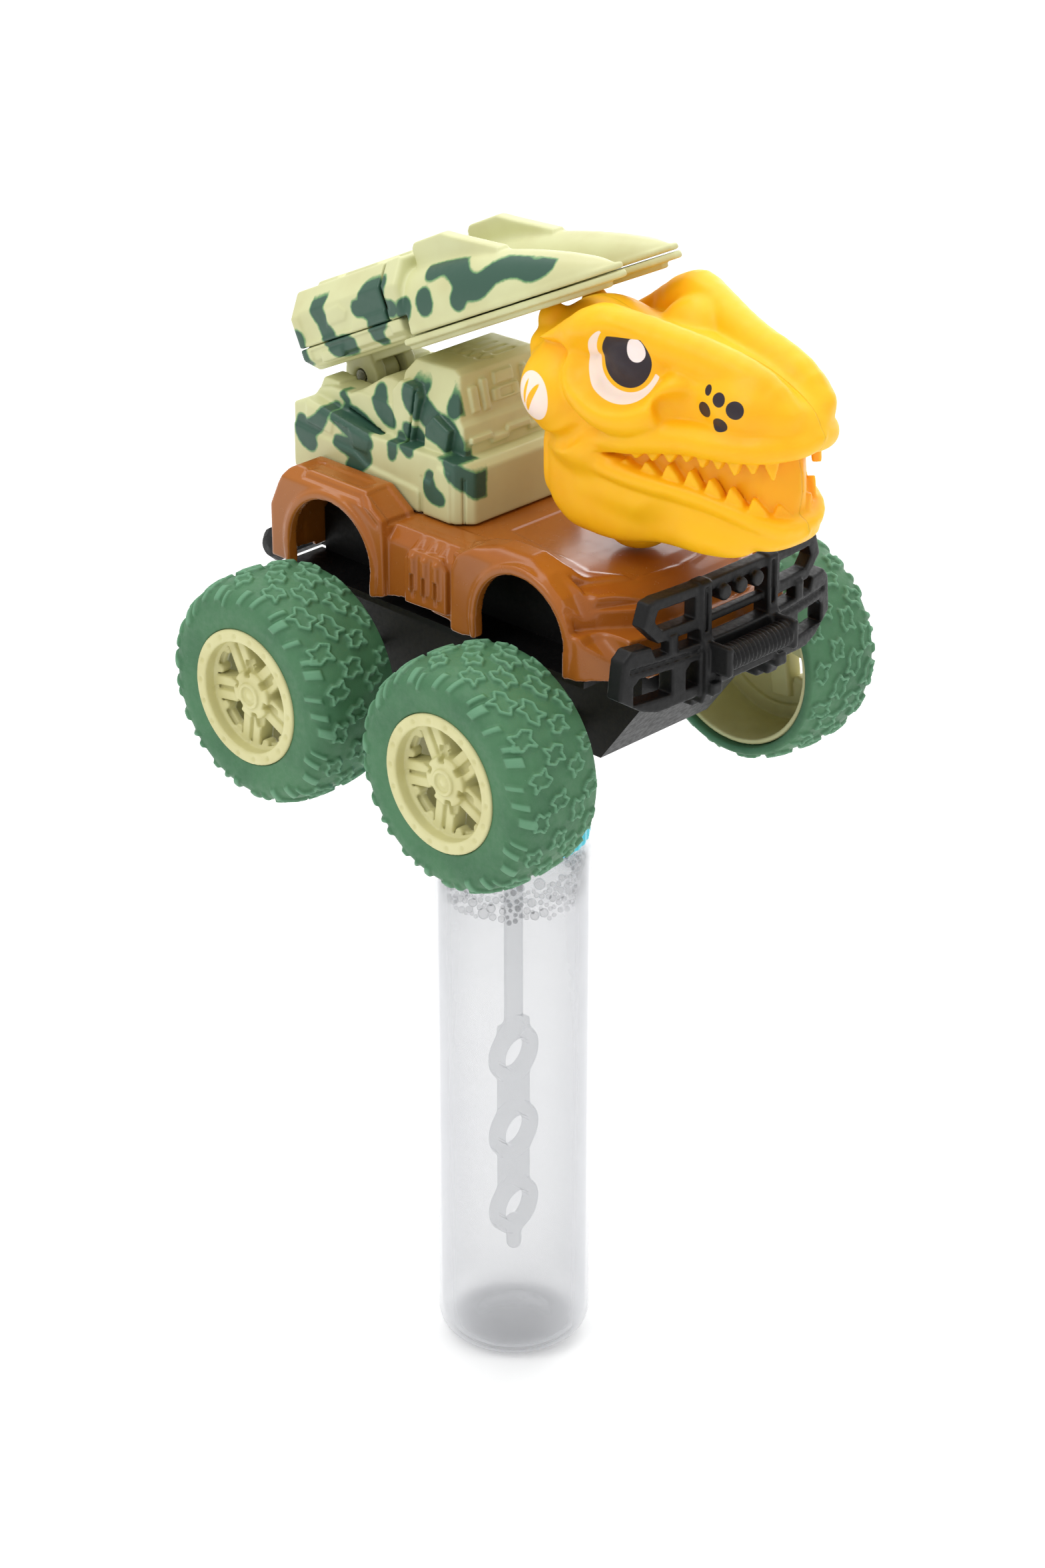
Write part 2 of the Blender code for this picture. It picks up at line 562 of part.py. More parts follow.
def make_front_bumper():
    """Black front bumper: lower bar, two uprights, top bar with lamps, end loops and a winch roller."""
    def swept(half, low, high, depth, back, sweep):
        """A bar across the nose whose ends sweep back."""
        outline = []
        for y in (-half, -0.55 * half, 0.55 * half, half):
            outline.append((back + depth - sweep * (abs(y) / half) ** 2, y))
        for y in (half, 0.55 * half, -0.55 * half, -half):
            outline.append((back - sweep * (abs(y) / half) ** 2, y))
        return prism_mesh(outline, low, high, "Z")
    bm = swept(33.8, 16.4, 22.0, 5.0, 60.6, 4.0)
    bumper = make("front_bumper", bm, material("black plastic", (0.022, 0.022, 0.024), 0.45))
    join(bumper, swept(33.8, 26.4, 31.0, 5.0, 60.6, 4.0))
    for y in (-32.0, -23.0, -13.0, 13.0, 23.0, 32.0):
        back = 60.6 - 4.0 * (abs(y) / 33.8) ** 2
        join(bumper, box_mesh((back + 0.4, y - 1.6, 20.0), (back + 4.4, y + 1.6, 28.0)))
    for y in (-10.6, 10.6):
        join(bumper, box_mesh((60.0, y - 1.9, 14.4), (64.6, y + 1.9, 42.6)))
    join(bumper, box_mesh((60.4, -28.0, 39.2), (64.0, 28.0, 42.2)))
    join(bumper, box_mesh((60.4, -26.0, 31.8), (64.0, -10.0, 34.2)))
    join(bumper, box_mesh((60.4, 10.0, 31.8), (64.0, 26.0, 34.2)))
    for side in (-1, 1):
        low, high = sorted((side * 25.4, side * 28.6))
        join(bumper, box_mesh((60.3, low, 32.0), (63.9, high, 42.0)))
    for y in (-10.6, 10.6):
        join(bumper, box_mesh((52.0 + GAP, y - 1.7, 13.0), (61.4, y + 1.7, 17.4)))
    for y in (-5.0, 0.0, 5.0):
        join(bumper, cylinder_mesh(1.8, 61.0, 64.8, 12, "X", (0.0, y, 38.4)))
    for y in (-10.6, 10.6):
        join(bumper, box_mesh((63.6, y - 0.9, 22.4), (71.6, y + 0.9, 28.8)))
    join(bumper, cylinder_mesh(3.0, -10.2, 10.2, 14, "Y", (69.0, 0.0, 25.6)))


# ---------------------------------------------------------------- rocket pod base and launcher

def make_pod():
    """Camouflage base: a wide lower block, a cabin block in front and a saddle for the hinge."""
    camo = material("camouflage plastic", (0.55, 0.58, 0.33), 0.4)
    lower = [(-54.4, 38.6), (0.8, 38.6), (0.8, 51.6), (-0.4, 52.8)]
    lower += [(-6.0, 53.4), (-30.0, 52.6), (-50.0, 56.0), (-54.4, 54.0)]
    bm = bmesh.new()
    add_prism(bm, lower, -POD_HALF, POD_HALF)
    pod = make("launcher_base", bm, camo)
    upper = [(-52.0, 54.0), (-50.0, 57.4), (-46.0, 58.6), (-38.0, 58.6), (-33.0, 61.6)]
    upper += [(-27.0, 67.4), (-22.0, 70.6), (-8.4, 71.0), (-6.6, 60.4), (-4.8, 59.6), (-3.8, 52.0)]
    join(pod, prism_mesh(upper, -15.6, 15.6))
    cut(pod, prism_mesh([(-52.8, 30.0), (-0.8, 30.0), (-0.8, 50.2), (-52.8, 50.2)], -18.7, 18.7))
    cabin = [(-27.0, 48.0), (-5.6, 48.0), (-8.2, 60.0), (-9.6, 69.2), (-21.0, 69.0), (-27.0, 64.0)]
    cut(pod, prism_mesh(cabin, -14.0, 14.0))
    recess = circle(6.4, 20, HINGE)
    cut(pod, prism_mesh(recess, -8.0, 8.0))
    knuckle = cylinder_mesh(3.7, -2.6, 2.6, 20, "Y", (HINGE[0], 0.0, HINGE[1]))
    join(pod, knuckle)
    join(pod, box_mesh((HINGE[0] - 3.0, -2.6, 51.0), (HINGE[0] + 3.0, 2.6, HINGE[1])))
    cut(pod, cylinder_mesh(HINGE_PIN_R + RUNNING, -10.0, 10.0, 12, "Y", (HINGE[0], 0.0, HINGE[1])))
    for side in (-1, 1):
        low, high = sorted((side * 15.0, side * 16.6))
        join(pod, prism_mesh([(-24.0, 52.6), (-10.0, 52.8), (-10.0, 64.0), (-22.0, 64.0)], low, high))


def launcher_matrix():
    """From the launcher's frame, u along the rockets and origin on the hinge, to the truck's."""
    return Matrix.Translation((HINGE[0], 0.0, HINGE[1])) @ Matrix.Rotation(-radians(LAUNCHER_PITCH), 4, "Y")


def ogive(half, base_u, tip_u, centre, count=7):
    """Plan outline of one rocket: a parallel body that closes to a point."""
    side = []
    for i in range(count):
        t = i / (count - 1)
        side.append((base_u + (tip_u - base_u) * t, half * max(0.0, 1.0 - t ** 2.6) ** 0.75))
    return [(u, centre + v) for u, v in side] + [(u, centre - v) for u, v in reversed(side[:-1])]


def make_launcher():
    """Launcher: an upper shell with two half-round rockets and a lower shell with hinge ears."""
    camo = material("camouflage plastic", (0.55, 0.58, 0.33), 0.4)
    origin = (HINGE[0], 0.0, HINGE[1])
    tilt = launcher_matrix()

    def part_mesh(bm):
        turned(bm, tilt)
        return bm

    split = LAUNCHER_SPLIT
    box = [(-LAUNCHER_HALF, split), (LAUNCHER_HALF, split), (LAUNCHER_HALF, 17.0)]
    box += [(12.4, 22.4), (-12.4, 22.4), (-LAUNCHER_HALF, 17.0)]
    upper = make("launcher_upper", part_mesh(prism_mesh(box, -5.2, 33.2, "X")), camo, origin)
    inner = [(-15.4, split - 2.0), (15.4, split - 2.0), (15.4, 16.4)]
    inner += [(11.6, 20.8), (-11.6, 20.8), (-15.4, 16.4)]
    for centre in ROCKET_CENTRES:
        rocket = bmesh.new()
        rings = []
        for i in range(9):
            t = i / 8
            half = 8.4 * max(0.02, 1.0 - t ** 2.6) ** 0.75
            rise = 12.6 * max(0.03, 1.0 - t ** 2.0) ** 0.8
            u = 31.9 + 62.5 * t
            turns = [pi * k / 8 for k in range(9)]
            rings.append([(u, centre + half * cos(a), 5.4 + rise * sin(a)) for a in turns])
        add_loft(rocket, rings)
        join(upper, part_mesh(rocket))
        fin = [(36.0, 14.0), (35.6, 24.2), (47.0, 23.8), (60.0, 16.0)]
        blade = prism_mesh(fin, centre - 1.6, centre + 1.6)
        join(upper, part_mesh(blade))
    cut(upper, part_mesh(prism_mesh(inner, -3.6, 30.0, "X")))
    for centre in ROCKET_CENTRES:
        hollow = bmesh.new()
        rings = []
        for i in range(7):
            t = i / 6
            half = 6.9 * max(0.05, 1.0 - t ** 2.6) ** 0.75
            rise = 11.0 * max(0.06, 1.0 - t ** 2.0) ** 0.8
            u = 32.0 + 55.0 * t
            turns = [pi * k / 6 for k in range(7)]
            rings.append([(u, centre + half * cos(a), 4.4 + rise * sin(a)) for a in turns])
        add_loft(hollow, rings)
        cut(upper, part_mesh(hollow))

    tray = [(-LAUNCHER_HALF, 7.0), (-13.0, 4.2), (13.0, 4.2), (LAUNCHER_HALF, 7.0)]
    tray += [(LAUNCHER_HALF, split - GAP), (-LAUNCHER_HALF, split - GAP)]
    lower = make("launcher_lower", part_mesh(prism_mesh(tray, -5.2, 31.6, "X")), camo, origin)
    well = [(-15.4, 7.6), (-12.6, 5.8), (12.6, 5.8), (15.4, 7.6), (15.4, 14.0), (-15.4, 14.0)]
    cut(lower, part_mesh(prism_mesh(well, -3.6, 30.0, "X")))
    for centre in ROCKET_CENTRES:
        join(lower, part_mesh(prism_mesh(ogive(8.8, 30.6, 94.8, centre), 2.4, 5.1, "Z")))
    for side in (-1, 1):
        low, high = sorted((side * 3.1, side * 6.4))
        join(lower, part_mesh(cylinder_mesh(5.4, low, high, 20, "Y")))
        join(lower, part_mesh(box_mesh((-2.6, low, 0.0), (4.6, high, 5.0))))
    cut(lower, part_mesh(cylinder_mesh(HINGE_PIN_R + 2 * RUNNING, -10.0, 10.0, 16, "Y")))
    bm = cylinder_mesh(HINGE_PIN_R, -6.4, 6.4, 12, "Y", origin)
    make("launcher_hinge_pin", bm, material("steel", (0.6, 0.6, 0.62), 0.3, 1.0), origin, smooth=40)


# ---------------------------------------------------------------- dinosaur head

def head_rings(stations, shrink=0.0, count=16, power=2.6):
    """Rounded cross-sections along X from (x, bottom, top, half-width, tilt of the flanks)."""
    rings = []
    for x, low, high, half, lean in stations:
        middle = (low + high) / 2
        tall = (high - low) / 2 - shrink
        wide = half - shrink
        ring = []
        for k in range(count):
            turn = 2 * pi * (k + 0.5) / count
            c = cos(turn)
            s = sin(turn)
            y = wide * (abs(c) ** (2 / power)) * (1 if c > 0 else -1)
            z = tall * (abs(s) ** (2 / power)) * (1 if s > 0 else -1)
            ring.append((x, y * (1.0 + lean * z / tall), middle + z))
        rings.append(ring)
    return rings


def make_head():
    """Soft hollow dinosaur head, moulded as a left and a right half."""
    skull = [
        (9.4, 70.0, 83.0, 7.0, 0.0),
        (12.0, 64.0, 88.2, 13.0, 0.0),
        (20.0, 60.0, 92.4, 19.6, -0.05),
        (30.0, 60.0, 97.0, 21.6, -0.1),
        (40.0, 63.0, 98.0, 20.6, -0.12),
        (52.0, 66.0, 96.6, 16.4, -0.12),
        (64.0, 68.0, 95.8, 13.6, -0.15),
        (76.0, 69.0, 93.4, 11.8, -0.15),
        (84.0, 71.0, 90.0, 9.4, -0.1),
        (88.4, 75.0, 85.6, 5.4, 0.0),
    ]
    jaw = [
        (16.0, 48.0, 64.0, 8.0, 0.0),
        (20.0, 43.0, 66.0, 13.0, 0.0),
        (30.0, 38.4, 67.0, 15.4, 0.0),
        (44.0, 39.4, 67.4, 15.4, 0.0),
        (58.0, 44.0, 67.8, 13.6, 0.05),
        (70.0, 48.0, 68.0, 11.6, 0.1),
        (78.0, 50.0, 68.4, 9.6, 0.1),
        (83.6, 56.0, 67.4, 5.6, 0.0),
    ]

    def inset(stations, step):
        """The same sections with the two end ones moved inwards."""
        first = (stations[0][0] + step, *stations[0][1:])
        last = (stations[-1][0] - step, *stations[-1][1:])
        return [first] + stations[1:-1] + [last]

    for name, side in (("head_left", 1), ("head_right", -1)):
        bm = bmesh.new()
        add_loft(bm, head_rings(skull))
        half = make(name, bm, material("yellow plastic", (0.93, 0.50, 0.03), 0.35))
        lower = bmesh.new()
        add_loft(lower, head_rings(jaw))
        join(half, lower)
        hollow = bmesh.new()
        add_loft(hollow, head_rings(inset(skull, 1.6), 1.5))
        cut(half, hollow)
        hollow = bmesh.new()
        add_loft(hollow, head_rings(inset(jaw, 1.6), 1.5))
        cut(half, hollow)
        cut(half, cylinder_mesh(8.0, 36.0, 46.0, 20, "Z", (34.0, 0.0, 0.0)))
        low, high = sorted((side * 0.15, side * -40.0))
        cut(half, box_mesh((-10.0, low, 20.0), (110.0, high, 120.0)))
        half.data.shade_smooth()
        half.data.set_sharp_from_angle(angle=radians(50))


def build():
    """Clear the scene and build every piece."""
    for old in list(bpy.data.objects):
        bpy.data.objects.remove(old)
    material("black plastic", (0.022, 0.022, 0.024), 0.45)
    make_bottle()
    make_cap()
    make_wand()
    for x, end in ((WHEELBASE / 2, "front"), (-WHEELBASE / 2, "rear")):
        make_axle(f"{end}_axle", x)
        for side, hand in ((1, "left"), (-1, "right")):
            make_rim(f"rim_{end}_{hand}", x, side)
            make_tyre(f"tyre_{end}_{hand}", x, side)
    make_motor()
    make_chassis()
    make_body()
    for i, (x, y) in enumerate(post_places()):
        make_screw(f"body_screw_{i + 1}", x, y, TUB_FLOOR - 0.2, 8.0)
    make_front_bumper()
    make_pod()
    make_launcher()
    make_head()


build()
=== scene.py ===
import json
import math

import bmesh
import bpy
import numpy as np
from mathutils import Matrix, Vector


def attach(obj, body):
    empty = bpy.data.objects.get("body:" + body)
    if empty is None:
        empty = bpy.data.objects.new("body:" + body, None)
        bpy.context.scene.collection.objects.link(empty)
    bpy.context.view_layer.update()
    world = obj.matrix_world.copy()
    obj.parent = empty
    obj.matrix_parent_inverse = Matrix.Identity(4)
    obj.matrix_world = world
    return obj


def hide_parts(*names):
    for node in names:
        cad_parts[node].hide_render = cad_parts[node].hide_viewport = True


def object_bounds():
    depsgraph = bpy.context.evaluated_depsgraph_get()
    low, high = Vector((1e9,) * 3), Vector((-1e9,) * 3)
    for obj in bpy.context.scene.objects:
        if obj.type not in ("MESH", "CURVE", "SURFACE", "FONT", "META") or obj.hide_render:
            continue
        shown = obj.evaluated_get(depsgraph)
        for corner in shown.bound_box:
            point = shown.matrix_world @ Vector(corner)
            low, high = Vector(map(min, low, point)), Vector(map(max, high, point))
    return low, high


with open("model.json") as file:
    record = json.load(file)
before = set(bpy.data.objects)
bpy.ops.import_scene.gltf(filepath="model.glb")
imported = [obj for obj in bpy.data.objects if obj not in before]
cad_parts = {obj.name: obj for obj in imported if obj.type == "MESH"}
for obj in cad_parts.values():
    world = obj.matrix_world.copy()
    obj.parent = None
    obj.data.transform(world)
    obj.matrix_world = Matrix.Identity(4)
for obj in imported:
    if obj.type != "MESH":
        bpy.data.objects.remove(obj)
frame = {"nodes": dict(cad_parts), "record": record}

CAD_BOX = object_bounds()

# The truck's own frame, in millimetres: X forward, Y left, Z up; zero is midway between the axles.
TRUCK_AT = Vector((-13.7, 0.0, 183.5))
MM = 0.001
AXLES = {"front": 31.0, "rear": -31.0}
BOTTLE_X = -4.2
HINGE = (-46.5, 58.5)
PITCH = math.radians(26.0)

# Distance fields, in millimetres: the value far from any shape, the least value at a block's sides,
# and how far past its own box a shape is worked.
EMPTY = 9.0
OUTSIDE = 0.1
REACH = 1.5
# One round of evening out a skin: a step in, and one slightly larger back.
RELAX_STEP = 0.5
RELAX_BACK = -1.04 * RELAX_STEP
# Materials: the shaded colour by default, how far roughness drifts down and up, and the grain's depth.
SHADE = 0.88
ROUGH_DRIFT = (0.86, 1.16)
GRAIN_DEPTH = 0.0002


def place(points):
    """Truck millimetres to the row frame's metres."""
    return (np.asarray(points, float) + np.array(TRUCK_AT)) * MM


# ---------------------------------------------------------------- shapes as distance fields, in millimetres

def soft_min(a, b, k):
    """The lesser of two distances, blended over a width k."""
    if k <= 0:
        return np.minimum(a, b)
    h = np.clip(0.5 + 0.5 * (b - a) / k, 0.0, 1.0)
    return b + (a - b) * h - k * h * (1.0 - h)


def ball(centre, radii):
    """An ellipsoid."""
    c, r = np.array(centre, float), np.array(radii, float) * np.ones(3)

    def d(x, y, z):
        u, v, w = (x - c[0]), (y - c[1]), (z - c[2])
        k0 = np.sqrt((u / r[0]) ** 2 + (v / r[1]) ** 2 + (w / r[2]) ** 2)
        k1 = np.sqrt((u / r[0] ** 2) ** 2 + (v / r[1] ** 2) ** 2 + (w / r[2] ** 2) ** 2) + 1e-6
        return k0 * (k0 - 1.0) / k1
    return d, c - r, c + r


def block(low, high, r=0.0):
    """A box with rounded edges."""
    low, high = np.array(low, float), np.array(high, float)
    c, h = (low + high) / 2, (high - low) / 2 - r

    def d(x, y, z):
        q = [abs(x - c[0]) - h[0], abs(y - c[1]) - h[1], abs(z - c[2]) - h[2]]
        out = np.sqrt(sum(np.maximum(v, 0.0) ** 2 for v in q))
        return out + np.minimum(np.maximum(np.maximum(q[0], q[1]), q[2]), 0.0) - r
    return d, low, high


def rod(a, b, ra, rb=None):
    """A round-ended rod from a to b, tapering from ra to rb."""
    a, b = np.array(a, float), np.array(b, float)
    rb = ra if rb is None else rb
    ab = b - a
    length = float(ab @ ab)

    def d(x, y, z):
        u, v, w = x - a[0], y - a[1], z - a[2]
        t = np.clip((u * ab[0] + v * ab[1] + w * ab[2]) / length, 0.0, 1.0)
        return np.sqrt((u - t * ab[0]) ** 2 + (v - t * ab[1]) ** 2
                       + (w - t * ab[2]) ** 2) - (ra + (rb - ra) * t)
    r = max(ra, rb)
    return d, np.minimum(a, b) - r, np.maximum(a, b) + r


def outline_distance(p, q, outline):
    """Signed distance of (p, q) to a closed outline of 2-D points."""
    best = None
    sign = None
    for (x0, y0), (x1, y1) in zip(outline, outline[1:] + outline[:1]):
        ex, ey = x1 - x0, y1 - y0
        wx, wy = p - x0, q - y0
        t = np.clip((wx * ex + wy * ey) / (ex * ex + ey * ey + 1e-12), 0.0, 1.0)
        gap = (wx - ex * t) ** 2 + (wy - ey * t) ** 2
        best = gap if best is None else np.minimum(best, gap)
        above, below = q >= y0, q < y1
        turn = ex * wy > ey * wx
        flip = (above & below & turn) | (~above & ~below & ~turn)
        sign = flip if sign is None else sign ^ flip
    return np.where(sign, -1.0, 1.0) * np.sqrt(best)


def slab(outline, low, high, axis="y", r=0.0):
    """An outline drawn out along an axis, edges rounded by r; it lies in the other two axes, in order."""
    n = "xyz".index(axis)
    pts = np.array(outline, float)
    a, b = [k for k in range(3) if k != n]
    lo, hi = np.zeros(3), np.zeros(3)
    lo[[a, b]], hi[[a, b]] = pts.min(0), pts.max(0)
    lo[n], hi[n] = low, high
    mid, half = (low + high) / 2, (high - low) / 2

    def d(x, y, z):
        g = (x, y, z)
        flat = outline_distance(g[a], g[b], [tuple(p) for p in outline]) + r
        deep = abs(g[n] - mid) - half + r
        return np.minimum(np.maximum(flat, deep),
                          0.0) + np.sqrt(np.maximum(flat, 0) ** 2 + np.maximum(deep, 0) ** 2) - r
    return d, lo, hi


def drum(radius, low, high, axis="y", centre=(0.0, 0.0, 0.0), r=0.0):
    """A cylinder along an axis, edges rounded by r."""
    n = "xyz".index(axis)
    c = np.array(centre, float)
    a, b = [k for k in range(3) if k != n]
    lo, hi = c - radius, c + radius
    lo[n], hi[n] = low, high
    mid, half = (low + high) / 2, (high - low) / 2

    def d(x, y, z):
        g = (x, y, z)
        flat = np.sqrt((g[a] - c[a]) ** 2 + (g[b] - c[b]) ** 2) - radius + r
        deep = abs(g[n] - mid) - half + r
        return np.minimum(np.maximum(flat, deep),
                          0.0) + np.sqrt(np.maximum(flat, 0) ** 2 + np.maximum(deep, 0) ** 2) - r
    return d, lo, hi


def smooth_table(table, count=160):
    """A table of stations resampled on a smooth curve through them, by its first column."""
    t = np.array(table, float)
    x = t[:, 0]
    fine = np.linspace(x[0], x[-1], count)
    out = [fine]
    for col in t[:, 1:].T:
        slope = np.gradient(col, x)
        k = np.clip(np.searchsorted(x, fine, "right") - 1, 0, len(x) - 2)
        h = x[k + 1] - x[k]
        s = (fine - x[k]) / h
        out.append((2 * s ** 3 - 3 * s ** 2 + 1) * col[k] + (s ** 3 - 2 * s ** 2 + s) * h * slope[k]
                   + (-2 * s ** 3 + 3 * s ** 2) * col[k + 1] + (s ** 3 - s ** 2) * h * slope[k + 1])
    return np.array(out)


def hull(stations, power=2.4):
    """A closed form along X through stations of (x, half-width, low z, high z)."""
    s = smooth_table(stations)
    wide = s[1].max()

    def d(x, y, z):
        xc = np.clip(x, s[0][0], s[0][-1])
        w = np.maximum(np.interp(xc, s[0], s[1]), 0.05)
        zl, zh = np.interp(xc, s[0], s[2]), np.interp(xc, s[0], s[3])
        h = np.maximum((zh - zl) / 2, 0.05)
        f = ((abs(y) / w) ** power + (abs(z - (zl + zh) / 2) / h) ** power) ** (1 / power)
        return (f - 1.0) * np.minimum(w, h) * 0.9 + abs(x - xc)
    return d, np.array((s[0][0], -wide, s[2].min())), np.array((s[0][-1], wide, s[3].max()))


def both(shape):
    """A shape and its mirror image across the centre plane."""
    d, lo, hi = shape
    far = max(abs(lo[1]), abs(hi[1]))
    return (lambda x, y, z: d(x, abs(y), z)), np.array((lo[0], -far, lo[2])), np.array((hi[0], far, hi[2]))


def turned(shape, axis, degrees, pivot):
    """A shape turned about a point."""
    d, lo, hi = shape
    m = np.array(Matrix.Rotation(math.radians(degrees), 3, axis))
    p = np.array(pivot, float)
    corners = np.array([[(lo, hi)[i][0], (lo, hi)[j][1], (lo, hi)[k][2]] for i in (0, 1) for j in (0, 1)
                        for k in (0, 1)])
    moved = (corners - p) @ m.T + p

    def f(x, y, z):
        u, v, w = x - p[0], y - p[1], z - p[2]
        return d(m[0, 0] * u + m[1, 0] * v + m[2, 0] * w + p[0],
                 m[0, 1] * u + m[1, 1] * v + m[2, 1] * w + p[1],
                 m[0, 2] * u + m[1, 2] * v + m[2, 2] * w + p[2])
    return f, moved.min(0), moved.max(0)


class Clay:
    """A block of space in which shapes are joined and cut, then skinned."""

    def __init__(self, low, high, step):
        self.low, self.step = np.array(low, float), step
        self.count = np.ceil((np.array(high, float) - self.low) / step).astype(int) + 1
        self.field = np.full(self.count, EMPTY, np.float32)

    def axes(self, lo, hi):
        """The part of the grid between two corners, and its coordinates."""
        first = np.clip(np.floor((lo - self.low) / self.step).astype(int), 0, self.count - 1)
        last = np.clip(np.ceil((hi - self.low) / self.step).astype(int) + 1, 1, self.count)
        cut = tuple(slice(a, b) for a, b in zip(first, last))
        g = [(self.low[i] + self.step * np.arange(first[i], last[i])).astype(np.float32) for i in range(3)]
        return cut, g[0][:, None, None], g[1][None, :, None], g[2][None, None, :]

    def work(self, shape, blend, sign):
        """Joins a shape to the block, or cuts it out where sign is below zero."""
        d, lo, hi = shape
        room = max(blend, 0.0) + REACH
        cut, x, y, z = self.axes(np.array(lo) - room, np.array(hi) + room)
        if min(s.stop - s.start for s in cut) < 1:
            return self
        part = self.field[cut]
        dist = np.broadcast_to(d(x, y, z), part.shape)
        self.field[cut] = soft_min(part, dist, blend) if sign > 0 else -soft_min(-part, dist, blend)
        return self

    def add(self, *shapes, blend=0.5):
        for s in shapes:
            self.work(s, blend, 1)
        return self

    def cut(self, *shapes, blend=0.3):
        for s in shapes:
            self.work(s, blend, -1)
        return self

    def keep(self, shape, blend=0.3):
        """Leaves only what is inside the shape."""
        d = shape[0]
        _, x, y, z = self.axes(self.low, self.low + self.step * self.count)
        self.field = -soft_min(-self.field, -np.broadcast_to(d(x, y, z), self.field.shape), blend)
        return self

    def skin(self):
        """Vertices in millimetres and quads of the zero surface, closed at the block's sides."""
        f = self.field
        for ax in range(3):
            for end in (0, -1):
                side = [slice(None)] * 3
                side[ax] = end
                f[tuple(side)] = np.maximum(f[tuple(side)], OUTSIDE)
        n = np.array(f.shape) - 1
        inside = f < 0
        corner = [(i, j, k) for i in (0, 1) for j in (0, 1) for k in (0, 1)]
        total = sum(inside[i:n[0] + i, j:n[1] + j, k:n[2] + k].astype(np.int8) for i, j, k in corner)
        live = (total > 0) & (total < 8)
        cells = np.argwhere(live)
        number = np.full(live.shape, -1, np.int64)
        number[live] = np.arange(len(cells))
        value = {c: f[cells[:, 0] + c[0], cells[:, 1] + c[1], cells[:, 2] + c[2]] for c in corner}
        total_p, hits = np.zeros((len(cells), 3)), np.zeros(len(cells))
        for a in corner:
            for ax in range(3):
                if a[ax]:
                    continue
                b = tuple(1 if m == ax else a[m] for m in range(3))
                va, vb = value[a], value[b]
                cross = (va < 0) != (vb < 0)
                t = np.where(cross, va / np.where(cross, va - vb, 1), 0)
                p = np.tile(np.array(a, float), (len(cells), 1))
                p[:, ax] = t
                total_p += p * cross[:, None]
                hits += cross
        points = self.low + self.step * (cells + total_p / hits[:, None])
        quads = []
        for ax in range(3):
            o = [m for m in range(3) if m != ax]
            head = [slice(None)] * 3
            tail = [slice(None)] * 3
            head[ax], tail[ax] = slice(0, -1), slice(1, None)
            change = inside[tuple(head)] != inside[tuple(tail)]
            spots = np.argwhere(change)
            s, t = spots[:, o[0]], spots[:, o[1]]
            spots = spots[(s > 0) & (t > 0) & (s < n[o[0]]) & (t < n[o[1]])]
            ring = []
            for s, t in ((-1, -1), (0, -1), (0, 0), (-1, 0)):
                c = spots.copy()
                c[:, o[0]] += s
                c[:, o[1]] += t
                ring.append(number[c[:, 0], c[:, 1], c[:, 2]])
            ring = np.array(ring).T
            out = inside[spots[:, 0], spots[:, 1], spots[:, 2]]
            flip = out if ax != 1 else ~out
            ring[~flip] = ring[~flip][:, ::-1]
            quads.append(ring)
        return points, np.concatenate(quads)


def relax(points, quads, rounds):
    """Evens out a skin: each vertex moves towards its neighbours, then back, so that it keeps its size."""
    pairs = np.concatenate([quads[:, [0, 1]], quads[:, [1, 2]], quads[:, [2, 3]], quads[:, [3, 0]]])
    pairs = np.concatenate([pairs, pairs[:, ::-1]])
    count = np.bincount(pairs[:, 0], minlength=len(points))[:, None]
    for _ in range(rounds):
        for step in (RELAX_STEP, RELAX_BACK):
            mean = np.zeros_like(points)
            for ax in range(3):
                mean[:, ax] = np.bincount(pairs[:, 0], points[pairs[:, 1], ax], minlength=len(points))
            points = points + step * (mean / np.maximum(count, 1) - points)
    return points


# ---------------------------------------------------------------- objects

def mesh_object(name, points, faces, material):
    """A smooth-shaded mesh object from points in metres."""
    mesh = bpy.data.meshes.new(name)
    mesh.from_pydata([tuple(p) for p in np.asarray(points, float)], [],
                     [tuple(int(i) for i in f) for f in faces])
    mesh.materials.append(material)
    mesh.update()
    mesh.polygons.foreach_set("use_smooth", [True] * len(mesh.polygons))
    obj = bpy.data.objects.new(name, mesh)
    bpy.context.scene.collection.objects.link(obj)
    return obj


def settle(obj, body, slot, *nodes):
    """Rides and replaces a piece."""
    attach(obj, body)
    if nodes:
        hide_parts(*nodes)
    return obj


def mark(obj, name, distance):
    """Stores a value on each vertex: a signed distance to printed shapes, in millimetres, or a mask for
    painted light.
    """
    att = obj.data.attributes.new(name, "FLOAT", "POINT")
    att.data.foreach_set("value", np.asarray(distance, np.float32))


def clay_object(name, clay, material, rounds):
    """The skin of a clay block as an object, and its points in millimetres."""
    points, quads = clay.skin()
    points = relax(points, quads, rounds)
    return mesh_object(name, place(points), quads, material), points


